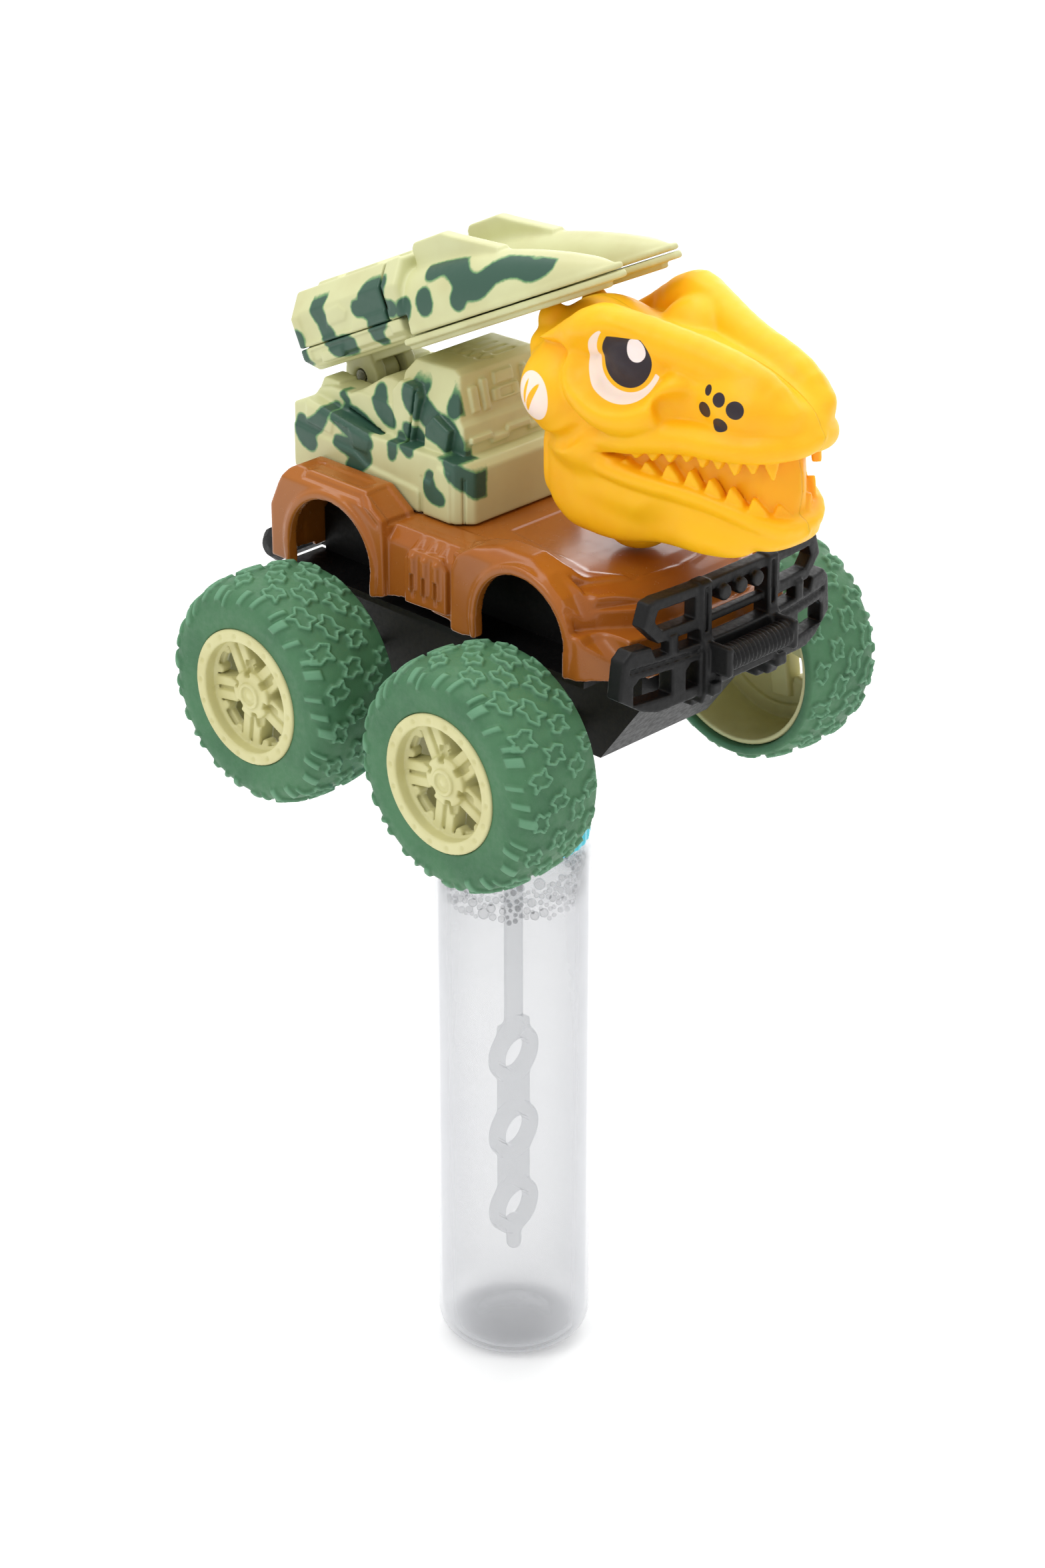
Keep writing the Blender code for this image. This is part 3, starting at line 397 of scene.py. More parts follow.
def lathe(name, profile, centre_x, material, segments):
    """A turned form about an upright axis; its profile is (radius, z), outside upward first."""
    bm = bmesh.new()
    rings = []
    for r, z in profile:
        if r <= 1e-6:
            rings.append([bm.verts.new(place((centre_x, 0.0, z)))])
            continue
        rings.append([bm.verts.new(place((centre_x + r * math.cos(t), r * math.sin(t), z)))
                      for t in np.linspace(0, 2 * math.pi, segments, endpoint=False)])
    for a, b in zip(rings, rings[1:]):
        for k in range(segments):
            n = (k + 1) % segments
            if len(a) == 1:
                bm.faces.new((a[0], b[n], b[k]))
            elif len(b) == 1:
                bm.faces.new((a[k], a[n], b[0]))
            else:
                bm.faces.new((a[k], a[n], b[n], b[k]))
    bmesh.ops.recalc_face_normals(bm, faces=bm.faces)
    mesh = bpy.data.meshes.new(name)
    bm.to_mesh(mesh)
    bm.free()
    mesh.materials.append(material)
    mesh.polygons.foreach_set("use_smooth", [True] * len(mesh.polygons))
    obj = bpy.data.objects.new(name, mesh)
    bpy.context.scene.collection.objects.link(obj)
    return obj


def curve_through(points, count):
    """Points on a smooth curve through the given ones."""
    pts = np.array(points, float)
    t = np.concatenate([[0], np.cumsum(np.linalg.norm(np.diff(pts, axis=0), axis=1))])
    return smooth_table(np.column_stack([t, pts]), count)[1:].T


def rods(points, radii, count=None):
    """Round rods along a smooth curve."""
    pts = np.array(points, float)
    rr = np.broadcast_to(np.array(radii, float), (len(pts),))
    count = count or 2 * len(pts)
    t = np.concatenate([[0], np.cumsum(np.linalg.norm(np.diff(pts, axis=0), axis=1))])
    fine = smooth_table(np.column_stack([t, pts, rr]), count)[1:].T
    return [rod(a[:3], b[:3], a[3], b[3]) for a, b in zip(fine, fine[1:])]


# ---------------------------------------------------------------- materials

def rgb(r, g, b):
    """A display colour, 0 to 255, as a linear colour."""
    return tuple(((c / 255 + 0.055) / 1.055) ** 2.4 if c > 10 else c / 255 / 12.92
                 for c in (r, g, b)) + (1.0,)


class Finish:
    """A moulded material: colour that drifts a little, prints over it, uneven gloss and a fine grain."""

    def __init__(self, name, colour, rough, shade=None, drift=90.0, grain=2600.0, bump=0.02, **sockets):
        self.mat = bpy.data.materials.new(name)
        self.mat.use_nodes = True
        self.nodes = self.mat.node_tree.nodes
        self.shader = self.nodes["Principled BSDF"]
        self.at = self.node("ShaderNodeTexCoord").outputs["Object"]
        for key, value in sockets.items():
            self.shader.inputs[key.replace("_", " ").title().replace("Ior", "IOR")].default_value = value
        cloud = self.noise(drift, 3.0, 0.55)
        shade = shade or tuple(c * SHADE for c in colour[:3]) + (1.0,)
        self.colour = self.mix(cloud, colour, shade, 0.35, 0.75)
        dust = self.noise(drift * 9, 4.0, 0.6)
        low, high = (rough * share for share in ROUGH_DRIFT)
        self.link(self.range(dust, 0.3, 0.7, low, min(1.0, high)), self.shader.inputs["Roughness"])
        self.relief = None
        self.raise_by(self.noise(grain, 3.0, 0.6), bump, GRAIN_DEPTH)

    def node(self, kind, **values):
        n = self.nodes.new(kind)
        for key, value in values.items():
            setattr(n, key, value)
        return n

    def link(self, a, b):
        self.mat.node_tree.links.new(a, b)

    def noise(self, scale, detail=2.0, rough=0.5):
        n = self.node("ShaderNodeTexNoise")
        n.inputs["Scale"].default_value = scale
        n.inputs["Detail"].default_value = detail
        n.inputs["Roughness"].default_value = rough
        self.link(self.at, n.inputs["Vector"])
        return n.outputs["Fac"]

    def range(self, value, low, high, to_low=0.0, to_high=1.0):
        n = self.node("ShaderNodeMapRange", interpolation_type="SMOOTHSTEP")
        for key, v in (("From Min", low), ("From Max", high), ("To Min", to_low), ("To Max", to_high)):
            n.inputs[key].default_value = v
        self.link(value, n.inputs["Value"])
        return n.outputs["Result"]

    def mix(self, factor, a, b, low=None, high=None):
        """Colour a where factor is at or below low, colour b at or above high."""
        n = self.node("ShaderNodeMix", data_type="RGBA")
        if low is not None:
            factor = self.range(factor, low, high)
        self.link(factor, n.inputs["Factor"])
        for socket, colour in (("A", a), ("B", b)):
            target = [s for s in n.inputs if s.name == socket and s.type == "RGBA"][0]
            if isinstance(colour, tuple):
                target.default_value = colour
            else:
                self.link(colour, target)
        return [s for s in n.outputs if s.type == "RGBA"][0]

    def film(self, facing, grazing):
        """See-through where it is met square on, denser where it is met at a shallow angle."""
        n = self.node("ShaderNodeLayerWeight")
        n.inputs["Blend"].default_value = 0.5
        self.link(self.range(n.outputs["Facing"], 0.15, 0.98, facing, grazing), self.shader.inputs["Alpha"])

    def attribute(self, name):
        return self.node("ShaderNodeAttribute", attribute_name=name).outputs["Fac"]

    def print_over(self, attribute, colour, edge=0.12, wobble=0.0, at=0.0):
        """Prints a colour wherever a stored distance is below a limit."""
        value = self.attribute(attribute)
        if wobble:
            n = self.node("ShaderNodeMath", operation="MULTIPLY_ADD")
            self.link(self.noise(900.0, 2.0), n.inputs[0])
            n.inputs[1].default_value = wobble
            self.link(value, n.inputs[2])
            value = n.outputs[0]
        self.colour = self.mix(value, colour, self.colour, at - edge, at + edge)

    def dirty(self, colour, scale, low, high):
        """Fine flecks of another colour."""
        self.colour = self.mix(self.noise(scale, 5.0, 0.7), self.colour, colour, low, high)

    def raise_by(self, height, strength, distance):
        n = self.node("ShaderNodeBump")
        n.inputs["Strength"].default_value = strength
        n.inputs["Distance"].default_value = distance
        self.link(height, n.inputs["Height"])
        if self.relief is not None:
            self.link(self.relief, n.inputs["Normal"])
        self.relief = n.outputs["Normal"]

    def done(self):
        self.link(self.colour, self.shader.inputs["Base Color"])
        self.link(self.relief, self.shader.inputs["Normal"])
        return self.mat


def camouflage(name):
    """Pale green moulded plastic; printed dark green patches with a brighter, feathered edge."""
    f = Finish(name, rgb(203, 204, 155), 0.42, shade=rgb(194, 191, 141), drift=60.0, bump=0.05)
    f.print_over("patch", rgb(96, 142, 92), edge=0.30, wobble=0.5, at=0.30)
    f.print_over("patch", rgb(47, 82, 66), edge=0.16, wobble=0.35, at=-0.15)
    return f.done()


def make_materials():
    m = {"camo": camouflage("camouflage_plastic")}
    f = Finish("brown_plastic", rgb(163, 95, 30), 0.24, shade=rgb(152, 84, 24), drift=45.0, bump=0.015,
               coat_weight=0.08, coat_roughness=0.08, specular_ior_level=0.36)
    m["brown"] = f.done()
    f = Finish("yellow_vinyl", rgb(247, 186, 14), 0.46, shade=rgb(242, 174, 10), drift=50.0, grain=4200.0,
               bump=0.05, specular_ior_level=0.32, subsurface_weight=0.25,
               subsurface_radius=(0.004, 0.0018, 0.0005), subsurface_scale=0.6)
    # Painted shade: the inside of the mouth, behind the lips, is made a deeper orange.
    f.colour = f.mix(f.attribute("hollow"), f.colour, rgb(240, 138, 8), 0.1, 2.3)
    f.print_over("white_print", rgb(247, 226, 212), edge=0.06)
    f.print_over("dark_print", rgb(44, 34, 40), edge=0.06)
    f.print_over("glint", rgb(243, 228, 224), edge=0.06)
    m["yellow"] = f.done()
    f = Finish("green_rubber", rgb(66, 114, 77), 0.62, shade=rgb(54, 101, 67), drift=70.0, grain=3000.0,
               bump=0.16)
    # Painted highlight: the raised lugs and shoulder blocks are made a lighter green.
    f.colour = f.mix(f.attribute("raised"), f.colour, rgb(93, 142, 108), 0.25, 0.9)
    f.dirty(rgb(112, 150, 122), 2600.0, 0.62, 0.80)
    m["rubber"] = f.done()
    f = Finish("beige_plastic", rgb(207, 203, 150), 0.45, shade=rgb(196, 190, 134), drift=80.0, bump=0.06)
    m["rim"] = f.done()
    f = Finish("black_plastic", rgb(10, 10, 11), 0.5, shade=rgb(6, 6, 7), drift=90.0, grain=3200.0,
               bump=0.14, specular_ior_level=0.3)
    f.dirty(rgb(34, 34, 36), 1500.0, 0.66, 0.92)
    m["black"] = f.done()
    f = Finish("grey_plastic", rgb(92, 92, 96), 0.5, bump=0.08)
    m["grey"] = f.done()
    f = Finish("white_nylon", rgb(226, 226, 220), 0.45, bump=0.05, subsurface_weight=0.1)
    m["nylon"] = f.done()
    f = Finish("cyan_plastic", rgb(70, 208, 226), 0.3, shade=rgb(52, 192, 214), bump=0.03,
               transmission_weight=0.15)
    m["cyan"] = f.done()
    f = Finish("seal_foam", rgb(226, 224, 216), 0.9, grain=5200.0, bump=0.5)
    m["foam_seal"] = f.done()
    f = Finish("drawn_steel", rgb(196, 196, 200), 0.28, shade=rgb(170, 170, 176), metallic=1.0, bump=0.05)
    m["steel"] = f.done()
    f = Finish("clear_plastic", rgb(226, 227, 230), 0.08, shade=rgb(221, 222, 226), drift=30.0, grain=500.0,
               bump=0.02, specular_ior_level=0.4)
    f.film(0.15, 0.6)
    m["clear"] = f.done()
    f = Finish("bubble_solution", rgb(216, 217, 219), 0.3, shade=rgb(212, 213, 216), drift=40.0, bump=0.0,
               specular_ior_level=0.2)
    f.film(0.26, 0.4)
    m["liquid"] = f.done()
    f = Finish("foam_film", rgb(238, 240, 243), 0.06, drift=400.0, bump=0.02)
    f.film(0.08, 0.85)
    m["foam"] = f.done()
    f = Finish("wand_plastic", rgb(212, 216, 219), 0.35, shade=rgb(205, 210, 214), drift=200.0, bump=0.04)
    f.film(0.2, 0.4)
    m["wand"] = f.done()
    return m


# ---------------------------------------------------------------- camera, lights and floor

def make_stage():
    across, up, back = [Vector(v) for v in VIEW_AXES]
    cam = bpy.data.cameras.new("camera")
    cam.sensor_width, cam.lens = 36.0, LENS
    cam.clip_start, cam.clip_end = 0.05, 20.0
    eye = bpy.data.objects.new("camera", cam)
    aim = Matrix((across, up, back)).transposed().to_4x4()
    eye.matrix_world = Matrix.Translation(Vector(place(CAMERA_AT))) @ aim
    bpy.context.scene.collection.objects.link(eye)
    bpy.context.scene.camera = eye

    world = bpy.data.worlds.new("studio")
    world.use_nodes = True
    world.node_tree.nodes["Background"].inputs["Color"].default_value = (1.0, 1.0, 1.0, 1.0)
    world.node_tree.nodes["Background"].inputs["Strength"].default_value = SKY_LIGHT
    bpy.context.scene.world = world
    bpy.context.scene.view_settings.view_transform = "Standard"
    bpy.context.scene.view_settings.look = "None"

    target = Vector(place((0.0, 0.0, 20.0)))
    for name, at, size, power in LAMPS:
        lamp = bpy.data.lights.new(name, "AREA")
        lamp.shape, lamp.size, lamp.size_y, lamp.energy = "RECTANGLE", size[0], size[1], power
        obj = bpy.data.objects.new(name, lamp)
        obj.location = target + across * at[0] + back * at[1] + Vector((0, 0, at[2]))
        obj.rotation_euler = (target - obj.location).to_track_quat("-Z", "Y").to_euler()
        bpy.context.scene.collection.objects.link(obj)

    bm = bmesh.new()
    bmesh.ops.create_grid(bm, x_segments=8, y_segments=8, size=FLOOR_HALF)
    mesh = bpy.data.meshes.new("floor")
    bm.to_mesh(mesh)
    bm.free()
    paper = Finish("floor_paper", rgb(250, 250, 250), 0.9, shade=rgb(246, 246, 246), drift=2.0, bump=0.0)
    mesh.materials.append(paper.done())
    floor = bpy.data.objects.new("floor", mesh)
    floor.location.z = CAD_BOX[0][2] - FLOOR_GAP
    bpy.context.scene.collection.objects.link(floor)


# The photo's camera: lens in mm on a 36 mm sensor, place in truck millimetres, and its angles.
LENS = 87.287
CAMERA_AT = (552.16, -564.91, 364.92)
AZIMUTH, ELEVATION = math.radians(44.407), math.radians(26.662)
VIEW_AXES = ((math.cos(AZIMUTH), math.sin(AZIMUTH), 0.0),
             (-math.sin(AZIMUTH) * math.sin(ELEVATION), math.cos(AZIMUTH) * math.sin(ELEVATION),
              math.cos(ELEVATION)),
             (math.sin(AZIMUTH) * math.cos(ELEVATION), -math.cos(AZIMUTH) * math.cos(ELEVATION),
              math.sin(ELEVATION)))
# Each lamp: name, place from the truck (right of view, towards view, up) in metres, size, power.
LAMPS = (("key", (-0.9, 0.7, 0.9), (0.9, 0.9), 8.5),
         ("fill", (1.0, 0.6, 0.5), (0.9, 0.9), 3.0),
         ("top", (0.0, -0.6, 1.6), (1.8, 1.4), 16.0),
         ("rim", (0.6, -1.4, 1.0), (1.4, 0.9), 8.0))

SKY_LIGHT = 0.74
# Metres: half the floor's side, and how far it lies below the bottle's ring.
FLOOR_HALF = 6.0
FLOOR_GAP = 0.0002

MATERIALS = make_materials()
make_stage()


# ---------------------------------------------------------------- wheels

RIM_FACE = 58.9
SPOKES = 5
SPOKE_TURN = 28.0
# The tread: rows of lugs across it, lugs in a row, one lug's outline, and blocks over the shoulder.
TREAD_RADIUS = 26
LUG_ROWS = (2.6, 7.6, 12.8, 18.0)
LUGS = 17
LUG = [(-3.1, -1.5), (-1.1, -1.0), (0.5, -2.3), (2.7, -1.9), (2.0, -0.3), (3.0, 1.3), (1.1, 1.1),
       (-0.3, 2.3), (-2.5, 1.9), (-1.7, 0.2)]
SHOULDER_RADIUS = 25
SHOULDER_BLOCKS = 34


def wheel_points(points, axle, side):
    """From a wheel's own frame, whose outer face looks along +Y, to the truck's."""
    turn = np.array((side, side, 1.0))
    return points * turn + np.array((AXLES[axle], 0.0, 0.0))


def tyre_skin():
    """A thin rubber sleeve whose tread carries rows of outlined lugs, and blocks over the shoulder."""
    around = 540
    outer = curve_through([(24.65, 35.4), (25.3, 38.0), (25.9, 42.0), (26.15, 47.0), (26.0, 51.0),
                           (25.4, 54.2), (24.4, 56.6), (22.6, 58.2), (20.4, 58.7), (18.2, 58.55),
                           (16.12, 58.3)], 96)
    tangent = np.gradient(outer, axis=0)
    normal = np.column_stack([tangent[:, 1], -tangent[:, 0]])
    normal /= np.linalg.norm(normal, axis=1)[:, None]
    run = np.concatenate([[0], np.cumsum(np.linalg.norm(np.diff(outer, axis=0), axis=1))])
    theta = np.linspace(0, 2 * np.pi, around, endpoint=False)
    t, s = np.meshgrid(theta, run, indexing="ij")
    rise = np.zeros_like(t)
    spin = 0.0
    for row, across in enumerate(LUG_ROWS):
        for k in range(LUGS):
            spin += 2.4
            c, n = math.cos(spin), math.sin(spin)
            mirror = 1 if k % 2 else -1
            size = 0.84 + 0.12 * math.sin(3.1 * spin)
            pts = [(size * (c * a - n * b * mirror), size * (n * a + c * b * mirror)) for a, b in LUG]
            middle = 2 * np.pi * (k + 0.5 * (row % 2) + 0.06 * math.sin(5 * spin)) / LUGS
            gap = (t - middle + np.pi) % (2 * np.pi) - np.pi
            near_a = np.abs(gap[:, 0]) * TREAD_RADIUS < 5.5
            near_s = np.abs(run - across - 0.5 * math.sin(spin)) < 5.0
            p = gap[np.ix_(near_a, near_s)] * TREAD_RADIUS
            q = (run[near_s] - across - 0.5 * math.sin(spin))[None, :] + 0 * p
            d = outline_distance(p, q, pts)
            ridge = 0.9 * np.exp(-(np.maximum(np.abs(d - 0.12) - 0.14, 0) / 0.24) ** 2)
            floor = 0.3 / (1 + np.exp((d - 0.3) / 0.12))
            rise[np.ix_(near_a, near_s)] = np.maximum(rise[np.ix_(near_a, near_s)],
                                                      np.maximum(ridge, floor))
    for k in range(SHOULDER_BLOCKS):
        middle = 2 * np.pi * (k + 0.2 * math.sin(2.3 * k)) / SHOULDER_BLOCKS
        gap = ((t - middle + np.pi) % (2 * np.pi) - np.pi) * SHOULDER_RADIUS
        wide = 0.85 + 0.35 * math.sin(4.1 * k)
        start = 20.6 + 1.1 * math.sin(1.7 * k)
        d = np.maximum(np.abs(gap - 0.35 * (s - 21.0)) - wide, np.abs(s - start - 1.8) - 1.9)
        rise = np.maximum(rise, 0.8 / (1 + np.exp(d / 0.14)))
    edge = np.clip(run / 1.2, 0, 1) * np.clip((run[-1] - run) / 1.5, 0, 1)
    rise *= edge[None, :]
    radius = outer[:, 0][None, :] + rise * normal[:, 0][None, :]
    along = outer[:, 1][None, :] + rise * normal[:, 1][None, :]
    inner = np.array([(16.12, 55.4), (19.4, 54.1), (22.5, 52.6), (22.5, 44.0), (22.5, 35.4)])
    lip = np.array([(23.0, 35.1), (24.1, 35.1)])
    ring = np.concatenate([inner, lip])
    radius = np.concatenate([radius, np.tile(ring[:, 0], (around, 1))], axis=1)
    along = np.concatenate([along, np.tile(ring[:, 1], (around, 1))], axis=1)
    n = radius.shape[1]
    points = np.stack([radius * np.sin(theta)[:, None], along, radius * np.cos(theta)[:, None]],
                      axis=2).reshape(-1, 3)
    i, j = np.meshgrid(np.arange(around), np.arange(n), indexing="ij")
    a, b = (i + 1) % around, (j + 1) % n
    faces = np.stack([i * n + j, a * n + j, a * n + b, i * n + b], axis=2).reshape(-1, 4)
    raised = np.concatenate([rise, np.zeros((around, len(ring)))], axis=1).ravel()
    return points, faces, raised


def rim_clay():
    """Flat ring with dents, five fluted spokes with bolts between, a notched hub, and the open drum."""
    clay = Clay((-23.0, 35.2, -23.0), (23.0, 59.6, 23.0), 0.36)
    clay.add(drum(22.3, 36.0, 53.0, r=0.3), drum(19.6, 45.0, 54.6, r=0.5),
             drum(16.0, 50.0, RIM_FACE, r=0.45), blend=0.6)
    clay.cut(drum(21.0, 30.0, 51.4), drum(17.6, 30.0, 52.6), blend=0.2)
    clay.cut(drum(13.1, 54.3, 62.0, r=0.3), blend=0.4)
    clay.cut(drum(12.2, 40.0, 60.0), blend=0.2)
    clay.add(drum(13.6, 55.2, 56.0, r=0.2), blend=0.1)
    clay.cut(drum(12.4, 54.4, 60.0), blend=0.2)
    for k in range(SPOKES):
        turn = SPOKE_TURN + 360.0 * k / SPOKES
        for side in (-1, 1):
            bar = block((side * 1.7 - 1.2, 51.4, 3.0), (side * 1.7 + 1.2, 55.8, 15.4), 0.4)
            clay.add(turned(bar, "Y", turn, (0, 0, 0)), blend=0.25)
        web = block((-2.5, 51.0, 2.0), (2.5, 54.7, 15.4), 0.3)
        clay.add(turned(web, "Y", turn, (0, 0, 0)), blend=0.3)
        flute = rod((0.0, 56.1, 6.5), (0.0, 56.1, 12.6), 0.62)
        clay.cut(turned(flute, "Y", turn, (0, 0, 0)), blend=0.2)
        for lean in (-21.0, 21.0):
            boss = drum(1.15, 52.4, 55.4, centre=(0.0, 0.0, 12.2), r=0.4)
            clay.add(turned(boss, "Y", turn + lean, (0, 0, 0)), blend=0.4)
    clay.add(drum(5.7, 49.0, RIM_FACE - 1.9, r=0.7), blend=0.3)
    for k in range(6):
        notch = block((-0.95, 54.6, 4.2), (0.95, 61.0, 8.0), 0.3)
        clay.cut(turned(notch, "Y", 60.0 * k + 12, (0, 0, 0)), blend=0.2)
    clay.add(drum(3.1, 54.0, RIM_FACE - 1.1, r=0.4), blend=0.15)
    clay.cut(drum(2.2, 57.0, 61.0, r=0.2), blend=0.15)
    clay.add(ball((0.0, 56.7, 0.0), (1.5, 0.8, 1.5)), blend=0.2)
    for k in range(18):
        t = 2 * math.pi * (k + 0.5) / 18
        clay.cut(ball((14.6 * math.sin(t), RIM_FACE + 0.1, 14.6 * math.cos(t)), 0.62), blend=0.2)
    clay.add(drum(4.0, 42.0, 53.0), blend=0.4)
    clay.cut(drum(1.4, 30.0, 56.6), blend=0.1)
    return clay


def make_wheels():
    tyre_points, tyre_faces, raised = tyre_skin()
    rim_points, rim_faces = rim_clay().skin()
    rim_points = relax(rim_points, rim_faces, 2)
    for axle in AXLES:
        for label, side in (("left", 1), ("right", -1)):
            body = axle + "_axle_set"
            tyre = mesh_object("tread_%s_%s" % (axle, label), place(wheel_points(tyre_points, axle, side)),
                               tyre_faces, MATERIALS["rubber"])
            # The lug height drives the painted highlight on the tread.
            mark(tyre, "raised", raised)
            settle(tyre, body, "tyre_rubber", "tyre_%s_%s" % (axle, label))
            rim = mesh_object("wheel_%s_%s" % (axle, label), place(wheel_points(rim_points, axle, side)),
                              rim_faces,
                              MATERIALS["rim"])
            settle(rim, body, "rim_plastic", "rim_%s_%s" % (axle, label))


make_wheels()


# ---------------------------------------------------------------- dinosaur head

EYE = np.array((43.5, -15.3, 87.6))
EYE_OUT = np.array((0.30, -0.93, 0.20))


def head_clay():
    """A soft vinyl head: two brow crests, sunk eyes, a blunt snout, a toothed grin and a broad neck."""
    clay = Clay((6.0, -24.5, 36.0), (90.5, 24.5, 101.0), 0.45)
    clay.add(hull([(9.6, 1.0, 76.0, 80.0), (12.0, 9.0, 70.0, 86.0), (16.0, 14.0, 66.0, 88.5),
                   (22.0, 16.6, 64.5, 89.6),
                   (30.0, 17.0, 64.0, 90.4), (38.0, 16.6, 64.5, 91.4), (46.0, 15.4, 66.0, 91.6),
                   (54.0, 13.8, 68.0, 91.2),
                   (62.0, 12.8, 69.5, 90.6), (70.0, 12.2, 70.2, 89.4), (77.0, 11.2, 71.0, 87.2),
                   (82.5, 9.0, 72.0, 84.6),
                   (86.2, 6.0, 73.6, 82.0), (88.2, 1.6, 76.4, 79.4)], 2.5), blend=1.0)
    # Brow crests, their ridges down the snout, and the valley between them.
    crest = [(19.0, 87.0), (25.0, 91.4), (32.0, 94.4), (36.2, 97.6), (38.4, 98.5), (41.4, 97.0),
             (48.0, 90.0)]
    clay.add(both(slab(crest, 13.0, 17.2, r=1.6)), blend=3.0)
    for piece in rods([(30.0, 15.0, 90.4), (36.4, 14.6, 93.4), (44.0, 12.6, 93.4), (52.0, 9.8, 92.0),
                       (61.0, 7.4, 90.4),
                       (70.0, 6.4, 88.8), (78.0, 5.6, 86.0)], [3.6, 4.2, 3.8, 3.6, 3.4, 3.2, 3.2]):
        clay.add(both(piece), blend=2.4)
    clay.cut(ball((38.0, 0.0, 99.4), (17.0, 9.0, 5.6)), blend=3.0)
    # Cheek bulge, jaw muscle, crest knobs behind the skull.
    clay.add(both(ball((23.2, 13.0, 75.8), (9.0, 8.6, 9.0))), blend=3.4)
    clay.add(both(ball((31.0, 12.0, 66.0), (11.0, 6.6, 7.0))), blend=4.0)
    clay.add(both(ball((14.6, 6.6, 87.2), (3.4, 3.2, 4.4))), both(ball((15.4, 9.6, 82.8), (3.6, 3.4, 3.6))),
             blend=1.6)
    clay.add(ball((25.0, 0.0, 87.2), (10.0, 9.0, 6.4)), blend=3.0)
    # Eye: a wide shallow socket with a raised lower rim, and the eye's own dome inside it.
    for piece in rods([(31.5, 16.6, 84.0), (34.5, 17.8, 79.4), (41.0, 18.0, 76.6), (48.0, 16.8, 77.0),
                       (54.0, 14.6, 80.4),
                       (56.0, 12.8, 84.4)], [2.4, 2.8, 3.0, 2.9, 2.6, 2.2]):
        clay.add(both(piece), blend=3.2)
    clay.cut(both(turned(ball((43.6, 20.4, 87.2), (10.6, 5.6, 8.4)), "Z", -12.0, (43.6, 20.4, 87.2))),
             blend=2.0)
    clay.add(both(ball((43.2, 8.6, 87.2), (9.6, 7.4, 8.6))), blend=1.2)
    clay.cut(both(ball((34.0, 21.0, 86.0), (4.6, 4.4, 5.0))), blend=2.4)
    # Snout: a dip between brow and lip, nostril pads, and the roll of the upper lip.
    clay.cut(both(ball((62.0, 15.6, 80.4), (9.0, 3.6, 4.2))), blend=3.0)
    clay.add(both(ball((71.0, 9.6, 83.0), (8.6, 3.8, 5.0))), blend=2.6)
    clay.add(both(ball((79.0, 5.4, 82.6), (6.0, 4.2, 4.0))), blend=2.6)
    for piece in rods([(37.0, 15.4, 69.0), (44.0, 15.6, 70.6), (52.0, 14.6, 72.8), (60.0, 13.2, 74.2),
                       (68.0, 12.2, 74.6),
                       (75.0, 11.0, 74.9), (81.0, 8.8, 75.4), (85.0, 5.4, 76.0), (86.6, 0.0, 76.6)],
                      [1.8, 2.5, 2.7, 2.8, 2.8, 2.6, 2.6, 2.5, 2.4], 26):
        clay.add(both(piece), blend=1.8)
    # Neck, rounded underneath, and the lower jaw with its lip.
    clay.add(hull([(15.2, 5.0, 58.0, 70.0), (17.0, 11.4, 53.0, 74.0), (20.4, 13.8, 48.6, 78.0),
                   (25.0, 15.0, 45.6, 80.0),
                   (33.0, 15.4, 44.6, 78.0), (40.0, 14.8, 44.8, 74.0), (48.0, 13.6, 46.6, 68.0),
                   (56.0, 12.2, 48.8, 62.0),
                   (64.0, 10.0, 50.4, 60.0)], 7.5), blend=2.0)
    clay.add(hull([(30.0, 13.6, 52.0, 64.0), (38.0, 15.4, 51.5, 65.0), (46.0, 15.2, 51.0, 64.0),
                   (54.0, 14.2, 50.6, 63.2),
                   (62.0, 13.0, 50.4, 62.6), (70.0, 11.8, 50.4, 61.4), (76.0, 10.2, 50.8, 60.0),
                   (80.5, 7.8, 51.8, 58.8),
                   (83.4, 4.6, 53.6, 57.8), (84.6, 1.0, 55.0, 57.0)], 2.7), blend=1.6)
    for piece in rods([(36.0, 15.2, 63.0), (44.0, 14.6, 62.4), (52.0, 13.6, 62.2), (60.0, 12.4, 62.0),
                       (68.0, 11.2, 61.4),
                       (75.0, 9.6, 60.0), (80.0, 7.0, 58.6), (82.4, 3.6, 57.6), (83.0, 0.0, 57.4)],
                      [1.6, 1.9, 2.0, 2.0, 2.0, 2.0, 2.0, 1.9, 1.9], 24):
        clay.add(both(piece), blend=1.4)
    clay.add(both(ball((60.0, 8.6, 51.6), (14.0, 4.6, 3.6))), blend=2.6)
    clay.cut(both(turned(ball((50.0, 17.6, 51.0), (3.0, 3.0, 11.0)), "Y", 42.0, (50.0, 17.6, 51.0))),
             blend=3.2)
    # Open mouth: a wedge between the lips, with gums for the teeth to stand on.
    mouth = [(37.0, 66.0), (44.0, 67.0), (52.0, 68.9), (60.0, 70.8), (70.0, 71.5), (80.0, 72.4),
             (92.0, 74.0),
             (92.0, 56.0), (84.0, 58.6), (80.0, 60.2), (74.0, 62.4), (62.0, 63.8), (48.0, 64.2)]
    clay.cut(slab(mouth, -30.0, 30.0), blend=0.8)
    clay.add(hull([(34.0, 12.6, 56.0, 74.0), (44.0, 12.8, 56.0, 78.0), (54.0, 11.6, 56.0, 78.0),
                   (64.0, 10.0, 56.0, 78.0),
                   (72.0, 8.6, 56.0, 78.0), (78.0, 6.6, 55.0, 78.0), (81.0, 3.4, 55.0, 78.0)], 4.0),
                   blend=0.6)
